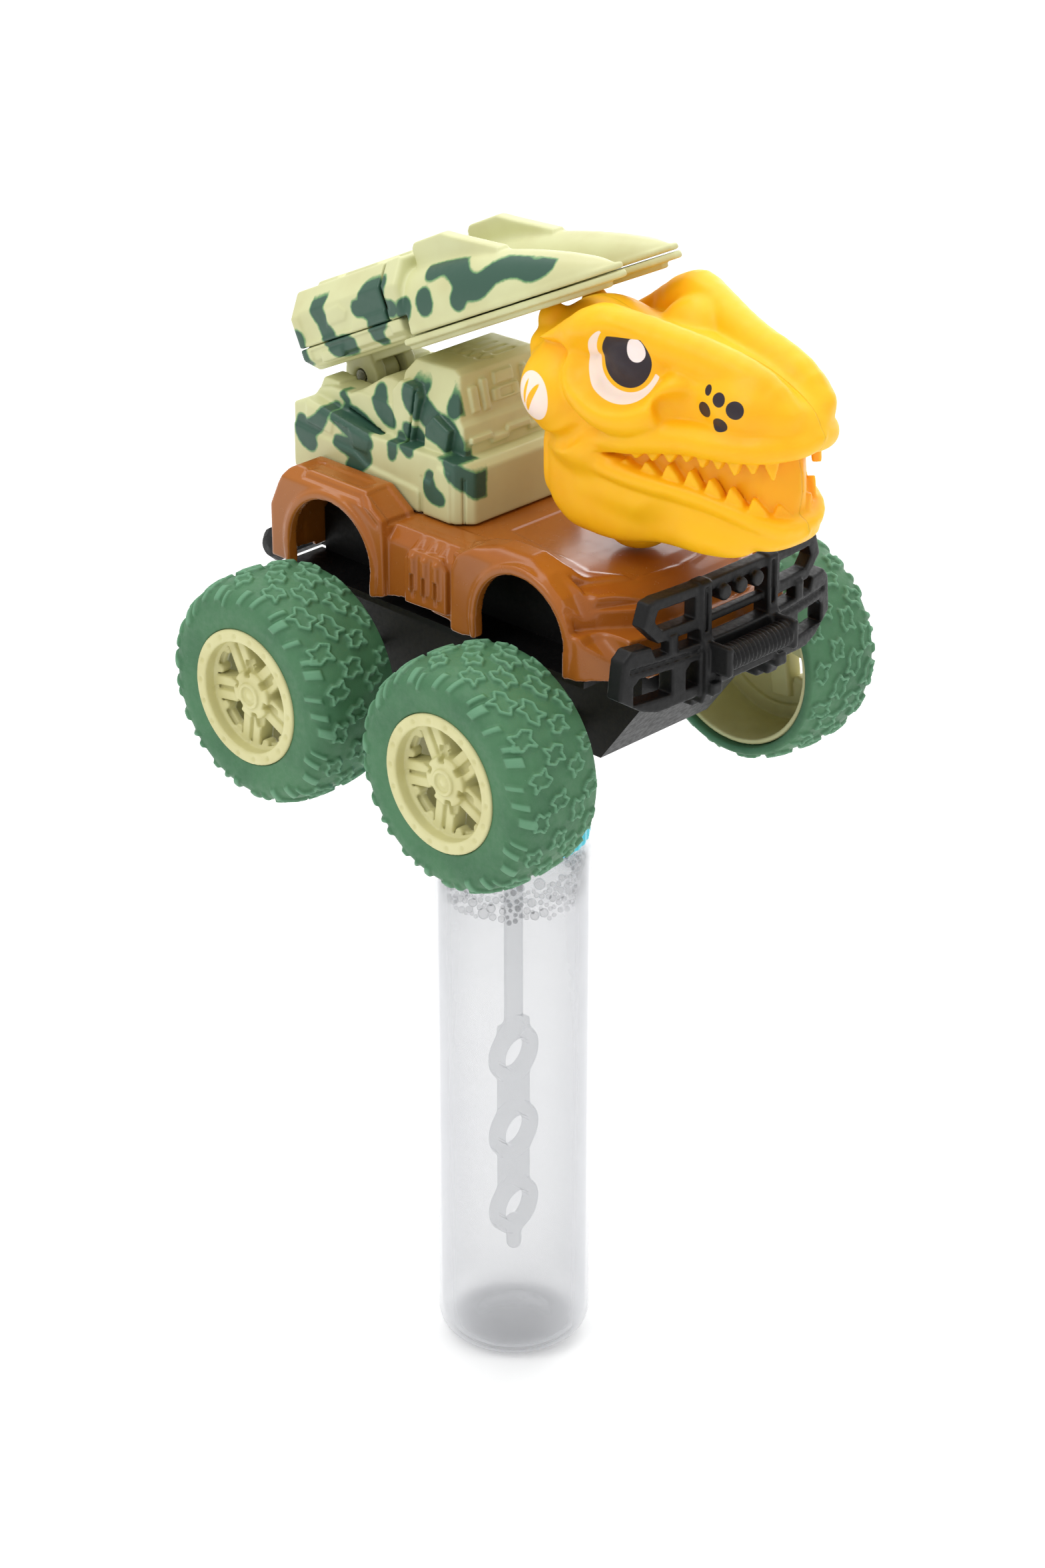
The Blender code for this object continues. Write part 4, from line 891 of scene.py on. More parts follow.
    # Teeth: short and wide from the upper lip, tall and leaning back from the lower one.
    upper = curve_through([(47.0, 14.4, 68.9), (52.0, 14.0, 70.2), (60.0, 13.1, 72.0), (68.0, 12.2, 72.8),
                           (76.0, 10.6, 73.4), (81.0, 7.6, 74.0), (83.8, 3.0, 74.6)], 10)
    lower = curve_through([(45.0, 13.8, 62.6), (52.0, 13.2, 62.4), (59.0, 12.4, 62.2), (66.0, 11.6, 61.6),
                           (73.0, 10.4, 60.4), (78.6, 7.8, 58.6), (81.2, 3.2, 57.8)], 8)
    for row, reach, half, lean in ((upper, (-2.0, -2.6, -3.0, -2.8, -3.6, -3.4, -4.2, -3.8, -5.6), 2.3, 0.2),
                                   (lower, (3.0, 4.0, 4.9, 5.2, 5.2, 5.4, 5.4, 4.6), 3.0, 1.7)):
        ways = np.gradient(row, axis=0)
        for (x, y, z), (ex, ey, _), rise in zip(row, ways, reach):
            tip = [(x - half, z - 0.14 * rise), (x + half, z - 0.14 * rise),
                   (x + half * 0.5 - lean * 0.3, z + rise * 0.5),
                   (x - lean + 0.3, z + rise), (x - lean - 0.3, z + rise),
                   (x - half * 0.8 - lean * 0.5, z + rise * 0.45)]
            tooth = turned(slab(tip, y - 1.5, y + 0.9, r=0.45), "Z", math.degrees(math.atan2(ey, ex)),
                           (x, y, z))
            clay.add(both(tooth), blend=0.25)
    # Peg under the neck, and a soft crease round the jaw's corner.
    clay.add(ball((34.7, 0.0, 43.4), (7.0, 7.0, 4.4)), blend=0.8)
    for piece in rods([(34.0, 18.6, 71.0), (30.0, 18.4, 67.6), (24.0, 17.6, 65.2), (18.0, 14.0, 65.0)],
                      0.9):
        clay.cut(both(piece), blend=2.2)
    return clay


def disc_distance(points, centre, outward, wide, tall, tilt=0.0):
    """Distance of surface points to a printed ellipse, seen along outward; far points are outside."""
    out = np.array(outward, float) / np.linalg.norm(outward)
    right = np.cross((0, 0, 1.0), -out)
    right /= np.linalg.norm(right)
    up = np.cross(right, -out)
    c, s = math.cos(tilt), math.sin(tilt)
    d = points - np.array(centre)
    u, v, w = d @ right, d @ up, d @ out
    u, v = c * u + s * v, -s * u + c * v
    q = np.sqrt((u / wide) ** 2 + (v / tall) ** 2)
    return np.maximum((q - 1) * min(wide, tall), np.abs(w) - 7.0)


def blunt(points):
    """Pushes the front of the snout and jaw back, most at the lips."""
    x, z = points[:, 0], points[:, 2]
    share = np.clip((x - 58.0) / 28.0, 0, 1) ** 1.3
    back = np.interp(z, [50.0, 58.0, 66.0, 73.0, 78.0, 84.0, 90.0], [2.4, 2.8, 3.6, 4.4, 3.4, 2.0, 1.6])
    return np.column_stack([x - share * back, points[:, 1], z])


def paint_head(obj, points):
    """Marks the eye, spots, cheek disc and painted shade on the gums, on both sides of the head."""
    p = points * (1.0, 0.0, 1.0) - np.abs(points) * (0.0, 1.0, 0.0)
    pupil = disc_distance(p, EYE + (0.6, 0, 0.8), EYE_OUT, 6.1, 6.2)
    lid = (p - (EYE + (0.6, 0, 0.3))) @ np.array((-0.10, 0.0, 1.0)) - 5.4
    pupil = np.maximum(pupil, lid)
    ring = disc_distance(p, EYE + (-0.4, 0, -0.7), EYE_OUT, 8.9, 8.1)
    hole = disc_distance(p, EYE + (0.6, 0, 1.0), EYE_OUT, 7.2, 7.3)
    ring = np.maximum(ring, -hole)
    cut_line = (p - EYE) @ np.array((0.55, 0.0, 0.83)) - 3.0
    ring = np.maximum(ring, cut_line)
    cheek = (21.8, -20.6, 75.8)
    cheek_out = (-0.22, -0.97, 0.05)
    disc = disc_distance(p, cheek, cheek_out, 4.9, 5.4)
    leaf = disc_distance(p, np.array(cheek) + (0.5, 0, -0.2), cheek_out, 0.75, 4.0, tilt=-0.5)
    leaf2 = disc_distance(p, np.array(cheek) + (-1.5, 0, 0.7), cheek_out, 0.55, 3.0, tilt=-0.15)
    disc = np.maximum(disc, -np.minimum(leaf, leaf2))
    white = np.minimum(ring, disc)
    glint = disc_distance(p, EYE + (3.3, 0, 3.4), EYE_OUT, 2.3, 2.6)
    glint = np.maximum(glint, lid)
    spots = [((63.6, 81.6), 2.0, 1.7), ((68.3, 79.6), 2.2, 1.5), ((64.3, 86.0), 0.95, 1.1),
             ((67.9, 85.0), 1.7, 1.5),
             ((72.4, 83.9), 2.2, 1.9)]
    near = [disc_distance(p, (x, -12.4, z), (0.2, -0.97, 0.1), wide, tall, 0.2)
            for (x, z), wide, tall in spots]
    dark = np.minimum(pupil, np.minimum.reduce(near))
    mark(obj, "white_print", white)
    mark(obj, "dark_print", dark)
    mark(obj, "glint", glint)
    # The mask of painted shade inside the mouth: strongest behind the lips, between the jaws.
    lips = np.interp(points[:, 0], [44.0, 54.0, 64.0, 72.0, 78.0, 81.0], [14.3, 13.3, 11.9, 10.6, 8.6, 5.6])
    deep = np.clip((lips - np.abs(points[:, 1])) / 1.2, 0, 1)
    band = np.clip((points[:, 2] - 58.0) / 2.0, 0, 1) * np.clip((73.5 - points[:, 2]) / 2.0, 0, 1)
    mark(obj, "hollow", deep * band * np.clip((points[:, 0] - 38.0) / 4.0, 0, 1))


def make_head():
    """Two halves of one vinyl shell, split on the centre plane."""
    clay = head_clay()
    points, quads = clay.skin()
    points = blunt(relax(points, quads, 2))
    for label, side in (("left", 1), ("right", -1)):
        mesh = bpy.data.meshes.new("half")
        mesh.from_pydata([tuple(p) for p in points], [], [tuple(int(i) for i in q) for q in quads])
        bm = bmesh.new()
        bm.from_mesh(mesh)
        cut = bmesh.ops.bisect_plane(bm, geom=bm.verts[:] + bm.edges[:] + bm.faces[:], dist=1e-5,
                                     plane_co=(0, 0.02 * side, 0), plane_no=(0, -side, 0), clear_outer=True)
        rim = [e for e in cut["geom_cut"] if isinstance(e, bmesh.types.BMEdge)]
        bmesh.ops.contextual_create(bm, geom=rim)
        bmesh.ops.triangulate(bm, faces=[f for f in bm.faces if len(f.verts) > 4])
        bm.verts.ensure_lookup_table()
        where = np.array([v.co[:] for v in bm.verts])
        for v, p in zip(bm.verts, where):
            v.co = place(p)
        bm.to_mesh(mesh)
        bm.free()
        mesh.materials.append(MATERIALS["yellow"])
        mesh.polygons.foreach_set("use_smooth", [len(p.vertices) == 4 or abs(p.normal.y) < 0.999
                                                 for p in mesh.polygons])
        obj = bpy.data.objects.new("dinosaur_head_" + label, mesh)
        bpy.context.scene.collection.objects.link(obj)
        paint_head(obj, where)
        settle(obj, "truck", "yellow_plastic", "head_" + label)


make_head()


# ---------------------------------------------------------------- camouflage patches
# Each is a chain of (along, up, radius) in a side view.

LAUNCHER_PATCHES = [
    [(6.2, 20.0, 1.8), (4.3, 17.8, 1.7), (5.2, 14.9, 1.3), (5.5, 12.4, 1.8), (7.5, 8.3, 1.8),
     (12.0, 7.6, 2.1)],
    [(28.5, 18.3, 1.3), (22.7, 15.4, 3.0), (24.8, 11.8, 3.0), (22.0, 8.8, 1.7), (22.8, 6.4, 1.3)],
    [(18.2, 14.8, 1.8), (29.8, 12.4, 1.8)],
    [(-4.3, 12.8, 1.5), (-4.7, 9.2, 1.2), (-4.1, 6.9, 0.9)],
    [(33.9, 11.7, 2.0), (33.4, 10.8, 2.0)],
    [(42.5, 17.3, 1.7), (48.1, 17.9, 1.9), (52.1, 15.2, 2.3), (54.4, 12.2, 2.5), (57.7, 11.0, 2.1),
     (63.7, 12.7, 1.8), (69.6, 12.5, 1.7), (74.5, 10.5, 1.7), (78.6, 10.8, 1.3)],
    [(54.4, 12.2, 2.4), (51.7, 9.8, 1.5)],
    [(40.5, 11.9, 2.5), (40.7, 11.0, 2.4)],
]
POD_PATCHES = [
    [(-51.6, 50.3, 1.3), (-49.9, 47.5, 2.6), (-48.1, 45.8, 1.4)],
    [(-48.7, 48.9, 1.8), (-44.8, 52.6, 1.4), (-43.7, 54.6, 1.0)],
    [(-40.4, 54.4, 1.5), (-36.0, 52.9, 2.1), (-32.4, 51.2, 1.9), (-29.9, 50.6, 1.3)],
    [(-39.8, 48.6, 1.1), (-34.7, 47.9, 1.7), (-31.1, 47.3, 2.0), (-34.8, 43.5, 1.5)],
    [(-42.0, 57.9, 0.8), (-40.6, 56.9, 0.7)],
    [(-30.6, 61.9, 1.2), (-29.9, 58.9, 1.7), (-27.8, 56.9, 1.9), (-25.7, 55.8, 1.1)],
    [(-20.8, 55.9, 1.0), (-18.7, 54.1, 1.5), (-16.6, 52.0, 0.8)],
    [(-22.6, 53.8, 0.6), (-21.9, 51.3, 1.0), (-22.3, 49.4, 0.5)],
    [(-18.5, 66.6, 2.1), (-19.6, 63.1, 2.0), (-16.9, 60.7, 2.3), (-13.4, 58.5, 2.5), (-9.2, 57.6, 2.7),
     (-6.4, 55.2, 1.8)],
    [(-8.2, 70.6, 0.5), (-7.2, 67.3, 1.3), (-7.9, 62.9, 1.9)],
    [(-4.7, 53.1, 1.1), (-1.9, 50.2, 1.5), (0.8, 47.8, 1.9), (2.2, 45.8, 1.2)],
    [(-10.0, 48.4, 1.1), (-9.0, 44.7, 1.7), (-6.2, 43.9, 1.2)],
]


def patch_distance(along, up, chains):
    """Signed distance to rounded chains in a side view."""
    best = np.full(np.shape(along), 9.0)
    for chain in chains:
        fine = curve_through([(a, b, 0.0) for a, b, _ in chain], 5 * len(chain)) if len(chain) > 2 else \
            np.array([(a, b, 0.0) for a, b, _ in chain])
        where = np.linspace(0, 1, len(fine))
        size = np.interp(where, np.linspace(0, 1, len(chain)), [r for _, _, r in chain])
        for (a0, b0, _), (a1, b1, _), r in zip(fine, fine[1:], size):
            ex, ey = a1 - a0, b1 - b0
            t = np.clip(((along - a0) * ex + (up - b0) * ey) / (ex * ex + ey * ey + 1e-9), 0, 1)
            d = np.hypot(along - a0 - ex * t, up - b0 - ey * t) - r
            best = soft_min(best, d - 0.35, 0.8)
    return best


# ---------------------------------------------------------------- rocket launcher
# In its own frame: zero at the hinge, x along the rockets, z up.

def from_launcher(points):
    """Launcher frame to truck frame."""
    x, y, z = points.T
    return np.column_stack([HINGE[0] + x * math.cos(PITCH) - z * math.sin(PITCH), y,
                            HINGE[1] + x * math.sin(PITCH) + z * math.cos(PITCH)])


def ogive(half, base, tip, centre):
    """Plan outline of one rocket: a parallel body that closes to a blunt point."""
    t = np.linspace(0, 1, 14)
    reach = half * np.maximum(0.03, 1 - t ** 3.0) ** 0.6
    side = list(zip(base + (tip - base) * t, reach))
    return [(u, centre + v) for u, v in side] + [(u, centre - v) for u, v in reversed(side)]


def make_launcher():
    """Two half-round rockets in front of a chamfered box; the lower shell closes it from below."""
    step = 0.42
    split = 10.0
    clay = Clay((-6.5, -18.4, 1.5), (96.0, 18.4, 25.6), step)
    box = [(-17.0, split), (17.0, split), (17.0, 17.2), (12.6, 22.5), (-12.6, 22.5), (-17.0, 17.2)]
    clay.add(slab(box, -5.2, 33.4, "x", r=0.9))
    # Side panels sunk between the end frames, a stepped seam ledge, and ribs along the top.
    clay.cut(both(slab([(-2.2, 11.0), (27.4, 11.0), (29.0, 12.6), (29.0, 19.4), (-0.8, 19.4), (-2.2, 17.6)],
                       16.5, 18.5)),
             blend=0.3)
    clay.add(both(slab([(-2.6, 9.8), (14.0, 9.8), (15.8, 12.6), (28.4, 12.6), (28.4, 11.6), (31.0, 11.6),
                        (31.0, 9.8)],
                       15.4, 17.0, r=0.25)), blend=0.15)
    clay.add(both(slab([(6.4, 13.2), (13.4, 13.2), (14.8, 15.0), (12.6, 17.0), (8.0, 16.6)], 15.6, 17.0,
                       r=0.3)), blend=0.2)
    clay.add(both(block((2.0, 5.2, 21.6), (9.6, 11.6, 23.2), 0.4)),
             both(block((12.0, 4.4, 21.6), (24.0, 11.4, 23.1), 0.4)),
             block((-3.4, -3.0, 21.6), (26.5, 3.0, 23.3), 0.4), blend=0.2)
    clay.cut(block((-1.0, -0.5, 22.9), (25.0, 0.5, 24.0), 0.1),
             both(block((14.0, 6.4, 22.7), (22.0, 7.2, 24.0))), blend=0.1)
    clay.cut(both(slab([(27.2, 9.0), (28.0, 9.0), (28.0, 30.0), (27.2, 30.0)], 0.0, 18.6)), blend=0.2)
    clay.keep(slab([(-17.2, 0.0), (17.2, 0.0), (17.2, 17.4), (12.0, 23.3), (-12.0, 23.3), (-17.2, 17.4)],
                   -7.0, 99.0, "x"),
              blend=0.3)
    clay.add(slab([(-17.0, split), (17.0, split), (17.0, 17.2), (12.6, 22.5), (-12.6, 22.5), (-17.0, 17.2)],
                  30.0, 33.2, "x",
                  r=0.7), blend=0.2)
    for centre in (-8.6, 8.6):
        t = np.linspace(0, 1, 12)
        rise = [13.6, 13.8, 13.7, 13.4, 12.7, 11.7, 10.5, 9.1, 7.5, 5.7, 3.6, 1.0]
        half = 8.5 * np.maximum(0.0006, 1 - t ** 3.0) ** 0.6
        d, lo, hi = hull([(31.0 + 63.2 * s, w, 5.4 - h, 5.4 + h) for s, w, h in zip(t, half, rise)], 2.15)
        body = (lambda x, y, z, d=d, c=centre: d(x, y - c, z), lo + (0, centre, 0), hi + (0, centre, 0))
        rocket = Clay((30.0, centre - 9.6, 1.5), (96.0, centre + 9.6, 25.6), step)
        rocket.add(body)
        rocket.add(slab(ogive(8.7, 30.8, 94.6, centre), 4.6, 6.7, "z", r=0.4), blend=0.5)
        rocket.add(slab([(35.0, 12.0), (34.9, 23.4), (36.0, 24.5), (45.5, 24.6), (50.0, 22.6), (62.0, 17.6),
                         (62.0, 12.0)],
                        centre - 1.7, centre + 1.7, r=0.6), blend=0.9)
        rocket.cut(block((28.0, -30.0, 0.0), (99.0, 30.0, 5.35)), blend=0.1)
        cut = tuple(slice(a, a + b) for a, b in zip(np.round((rocket.low - clay.low) / step).astype(int),
                                                    rocket.count))
        room = [min(s.stop, n) - s.start for s, n in zip(cut, clay.count)]
        part = tuple(slice(s.start, s.start + r) for s, r in zip(cut, room))
        clay.field[part] = soft_min(clay.field[part], rocket.field[:room[0], :room[1], :room[2]], 0.5)
    clay.cut(slab([(-15.6, 0.0), (15.6, 0.0), (15.6, 16.6), (11.8, 21.0), (-11.8, 21.0), (-15.6, 16.6)],
                  -3.8, 31.6, "x"),
             blend=0.2)
    clay.cut(block((-8.0, -20.0, 0.0), (33.9, 20.0, split)), blend=0.0)
    points, quads = clay.skin()
    points = relax(points, quads, 2)
    obj = mesh_object("launcher_top_shell", place(from_launcher(points)), quads, MATERIALS["camo"])
    side = np.clip((14.5 - np.abs(points[:, 1])) * 0.8, -9, 9)
    on_rocket = points[:, 0] > 34.0
    side = np.where(on_rocket, np.clip((11.4 - np.abs(points[:, 1])) * 0.9, -9, 9), side)
    mark(obj, "patch", np.maximum(patch_distance(points[:, 0], points[:, 2], LAUNCHER_PATCHES), side))
    settle(obj, "launcher", "camouflage_plastic", "launcher_upper")

    clay = Clay((-6.5, -18.4, -6.8), (96.0, 18.4, 11.2), step)
    tray = [(-17.0, 7.2), (-13.4, 4.2), (13.4, 4.2), (17.0, 7.2), (17.0, split - 0.25),
            (-17.0, split - 0.25)]
    clay.add(slab(tray, -5.2, 31.4, "x", r=0.7))
    clay.cut(both(block((-1.6, 16.5, 5.0), (27.4, 18.4, 9.0), 0.3)), blend=0.2)
    clay.add(both(slab([(1.0, 5.6), (9.0, 5.6), (9.6, 8.2), (1.6, 8.2)], 15.6, 17.0, r=0.2)), blend=0.2)
    clay.add(block((-3.6, -15.4, 5.0), (30.0, 15.4, 11.0), 0.2), blend=0.1)
    clay.cut(block((-2.4, -14.2, 6.0), (28.8, 14.2, 14.0), 0.4), blend=0.2)
    for centre in (-8.6, 8.6):
        clay.add(slab(ogive(8.75, 30.8, 94.7, centre), 3.4, 5.0, "z", r=0.35), blend=0.3)
        clay.add(slab(ogive(7.6, 30.8, 90.0, centre), 2.2, 4.4, "z", r=0.5), blend=0.4)
        clay.cut(slab(ogive(6.0, 33.5, 84.0, centre), 4.2, 6.0, "z"), blend=0.2)
    clay.cut(block((31.6, -20.0, 5.1), (99.0, 20.0, 14.0)), blend=0.0)
    clay.add(both(drum(5.4, 3.1, 6.4, r=0.6)), blend=0.2)
    clay.add(both(block((-3.4, 3.1, 0.0), (5.2, 6.4, 5.2), 0.3)),
             both(block((5.0, 3.3, 2.2), (26.0, 5.4, 4.8), 0.3)), blend=0.5)
    clay.cut(drum(1.75, -8.0, 8.0), blend=0.1)
    points, quads = clay.skin()
    points = relax(points, quads, 2)
    obj = mesh_object("launcher_bottom_shell", place(from_launcher(points)), quads, MATERIALS["camo"])
    mark(obj, "patch", np.maximum(patch_distance(points[:, 0], points[:, 2], LAUNCHER_PATCHES),
                                  np.clip((14.8 - np.abs(points[:, 1])) * 0.8, -9, 9)))
    settle(obj, "launcher", "camouflage_plastic", "launcher_lower")


# ---------------------------------------------------------------- launcher base on the truck's back

def make_pod():
    """A wide lower block with rounded grooves, a cabin block with raised panels, and the hinge post."""
    clay = Clay((-55.4, -21.4, 37.6), (2.0, 21.4, 73.0), 0.42)
    lower = [(-54.4, 38.6), (0.8, 38.6), (0.8, 51.2), (-0.6, 52.8), (-6.0, 53.2), (-30.0, 52.6),
             (-50.0, 56.0), (-54.4, 54.0)]
    clay.add(slab(lower, -20.3, 20.3, r=0.7))
    clay.cut(both(slab([(-3.8, 21.4), (1.8, 15.8), (6.0, 21.4)], 36.0, 60.0, "z")), blend=0.4)
    upper = [(-52.4, 50.0), (-52.0, 55.0), (-50.0, 57.6), (-46.0, 58.8), (-39.6, 58.8), (-36.0, 60.8),
             (-31.0, 64.4),
             (-28.8, 65.0), (-24.0, 64.4), (-24.0, 50.0)]
    clay.add(slab(upper, -16.4, 16.4, r=0.8), blend=0.6)
    cab = [(-25.0, 50.0), (-25.0, 67.2), (-22.4, 70.6), (-10.4, 71.0), (-8.2, 70.0), (-5.6, 60.8),
           (-4.4, 59.4), (-3.6, 50.0)]
    clay.add(slab(cab, -15.4, 15.4, r=0.7), blend=0.3)
    clay.cut(both(turned(block((-40.0, 15.4, 60.0), (6.0, 30.0, 90.0)), "X", 18.0, (0.0, 15.4, 61.0))),
             blend=0.8)
    # Flanks: a shelf line, raised strakes and slanted pillars.
    clay.add(both(slab([(-54.0, 49.4), (-34.0, 47.6), (-30.0, 45.4), (-14.0, 44.2), (-12.6, 42.8),
                        (-12.6, 38.8),
                        (-54.0, 38.8)], 18.0, 20.9, r=0.35)), blend=0.15)
    clay.add(both(slab([(-12.0, 38.8), (-3.4, 38.8), (-3.4, 50.6), (-7.4, 51.4), (-9.6, 47.0),
                        (-12.0, 47.4)], 18.0, 20.9,
                       r=0.35)), blend=0.15)
    clay.cut(both(slab([(-13.2, 38.0), (-12.4, 38.0), (-12.4, 47.6), (-13.2, 47.6)], 20.0, 22.0)),
             blend=0.15)
    clay.add(both(slab([(-24.8, 50.0), (-19.8, 50.0), (-17.0, 63.6), (-18.6, 66.0), (-23.0, 66.4),
                        (-25.6, 63.4)], 13.0, 16.9,
                       r=0.5)), blend=0.2)
    clay.cut(both(slab([(-21.4, 48.0), (-20.8, 48.0), (-17.9, 66.0), (-18.5, 66.0)], 15.9, 18.0)),
             blend=0.15)
    clay.add(both(slab([(-15.0, 50.6), (-8.6, 50.6), (-7.0, 58.6), (-12.0, 61.0), (-14.6, 58.0)], 14.0,
                       17.4, r=0.5)), blend=0.2)
    clay.add(both(slab([(-50.0, 50.4), (-41.6, 49.6), (-40.8, 53.0), (-36.0, 52.4), (-34.6, 48.4),
                        (-30.0, 48.0),
                        (-29.0, 51.6), (-50.0, 55.0)], 16.0, 20.7, r=0.4)), blend=0.2)
    clay.cut(both(slab([(-40.2, 55.4), (-26.0, 51.8), (-26.0, 51.2), (-40.2, 54.8)], 14.0, 18.0)),
             blend=0.2)
    # Front face: frames, a hatch and steps, as generic raised panels.
    lean = 14.0
    pivot = (-5.4, 0.0, 60.6)
    for low, high in (((-6.6, -11.0, 61.6), (-4.9, -8.6, 67.6)), ((-6.6, -7.4, 61.4), (-4.8, -5.4, 68.6)),
                      ((-6.6, -4.2, 62.6), (-4.7, 3.8, 65.6)), ((-6.6, -3.2, 66.2), (-4.9, 2.8, 69.0)),
                      ((-6.6, 5.2, 61.4), (-4.8, 7.2, 68.6)), ((-6.6, 8.4, 61.6), (-4.9, 11.0, 67.6))):
        clay.add(turned(block(low, high, 0.35), "Y", -lean, pivot), blend=0.2)
    clay.cut(turned(block((-5.3, -2.4, 63.2), (-4.0, 2.0, 65.0), 0.2), "Y", -lean, pivot), blend=0.2)
    for low, high in (((-4.9, -13.8, 55.4), (-3.1, -7.0, 57.0)), ((-4.9, -7.2, 54.2), (-3.1, -2.0, 55.8)),
                      ((-4.9, -2.4, 55.4), (-3.1, 4.8, 57.0)), ((-4.9, 4.4, 54.2), (-3.1, 8.4, 55.8)),
                      ((-4.9, 8.2, 55.4), (-3.1, 13.8, 57.0))):
        clay.add(block(low, high, 0.3), blend=0.15)
    for k in range(4):
        x = -20.4 + 2.8 * k
        arc = [(x + 1.9 * math.sin(s), -4.4 + 8.8 * k / 24 + 7.5 * (1 - math.cos(s)), 71.0)
               for s in np.linspace(-0.9, 0.9, 6)]
        for piece in rods(arc, 0.5, 8):
            clay.cut(piece, blend=0.2)
        clay.cut(rod((x + 0.6, 1.5, 71.0), (x + 0.6, 7.4, 71.0), 0.5), blend=0.2)
    # Hinge well and post, and the hollow underside.
    clay.cut(drum(6.3, -8.2, 8.2, centre=(HINGE[0], 0.0, HINGE[1]), r=0.5), blend=0.3)
    clay.add(both(block((-52.6, 8.6, 55.0), (-45.0, 14.6, 60.4), 0.7)), blend=0.4)
    clay.cut(both(block((-60.0, 8.2, 59.6), (-40.0, 20.0, 80.0), 0.2)), blend=0.3)
    # The rear faces slope, which leaves room for the launcher's lower edge when it tilts up.
    clay.cut(both(slab([(-52.3, 55.3), (-49.6, 60.8), (-60.0, 60.8), (-60.0, 55.3)], 8.3, 20.0)),
             blend=0.2)
    clay.add(drum(3.7, -2.6, 2.6, centre=(HINGE[0], 0.0, HINGE[1]), r=0.4),
             block((HINGE[0] - 3.0, -2.6, 51.0), (HINGE[0] + 3.0, 2.6, HINGE[1]), 0.3), blend=0.3)
    clay.cut(drum(1.6, -9.0, 9.0, centre=(HINGE[0], 0.0, HINGE[1])), blend=0.1)
    clay.cut(block((-52.8, -18.6, 30.0), (-1.2, 18.6, 49.6), 0.4), blend=0.2)
    points, quads = clay.skin()
    points = relax(points, quads, 2)
    obj = mesh_object("launcher_pod", place(points), quads, MATERIALS["camo"])
    side = np.clip((13.2 - np.abs(points[:, 1])) * 0.8, -9, 9)
    mark(obj, "patch", np.maximum(patch_distance(points[:, 0], points[:, 2], POD_PATCHES), side))
    settle(obj, "truck", "camouflage_plastic", "launcher_base")


# ---------------------------------------------------------------- brown body shell

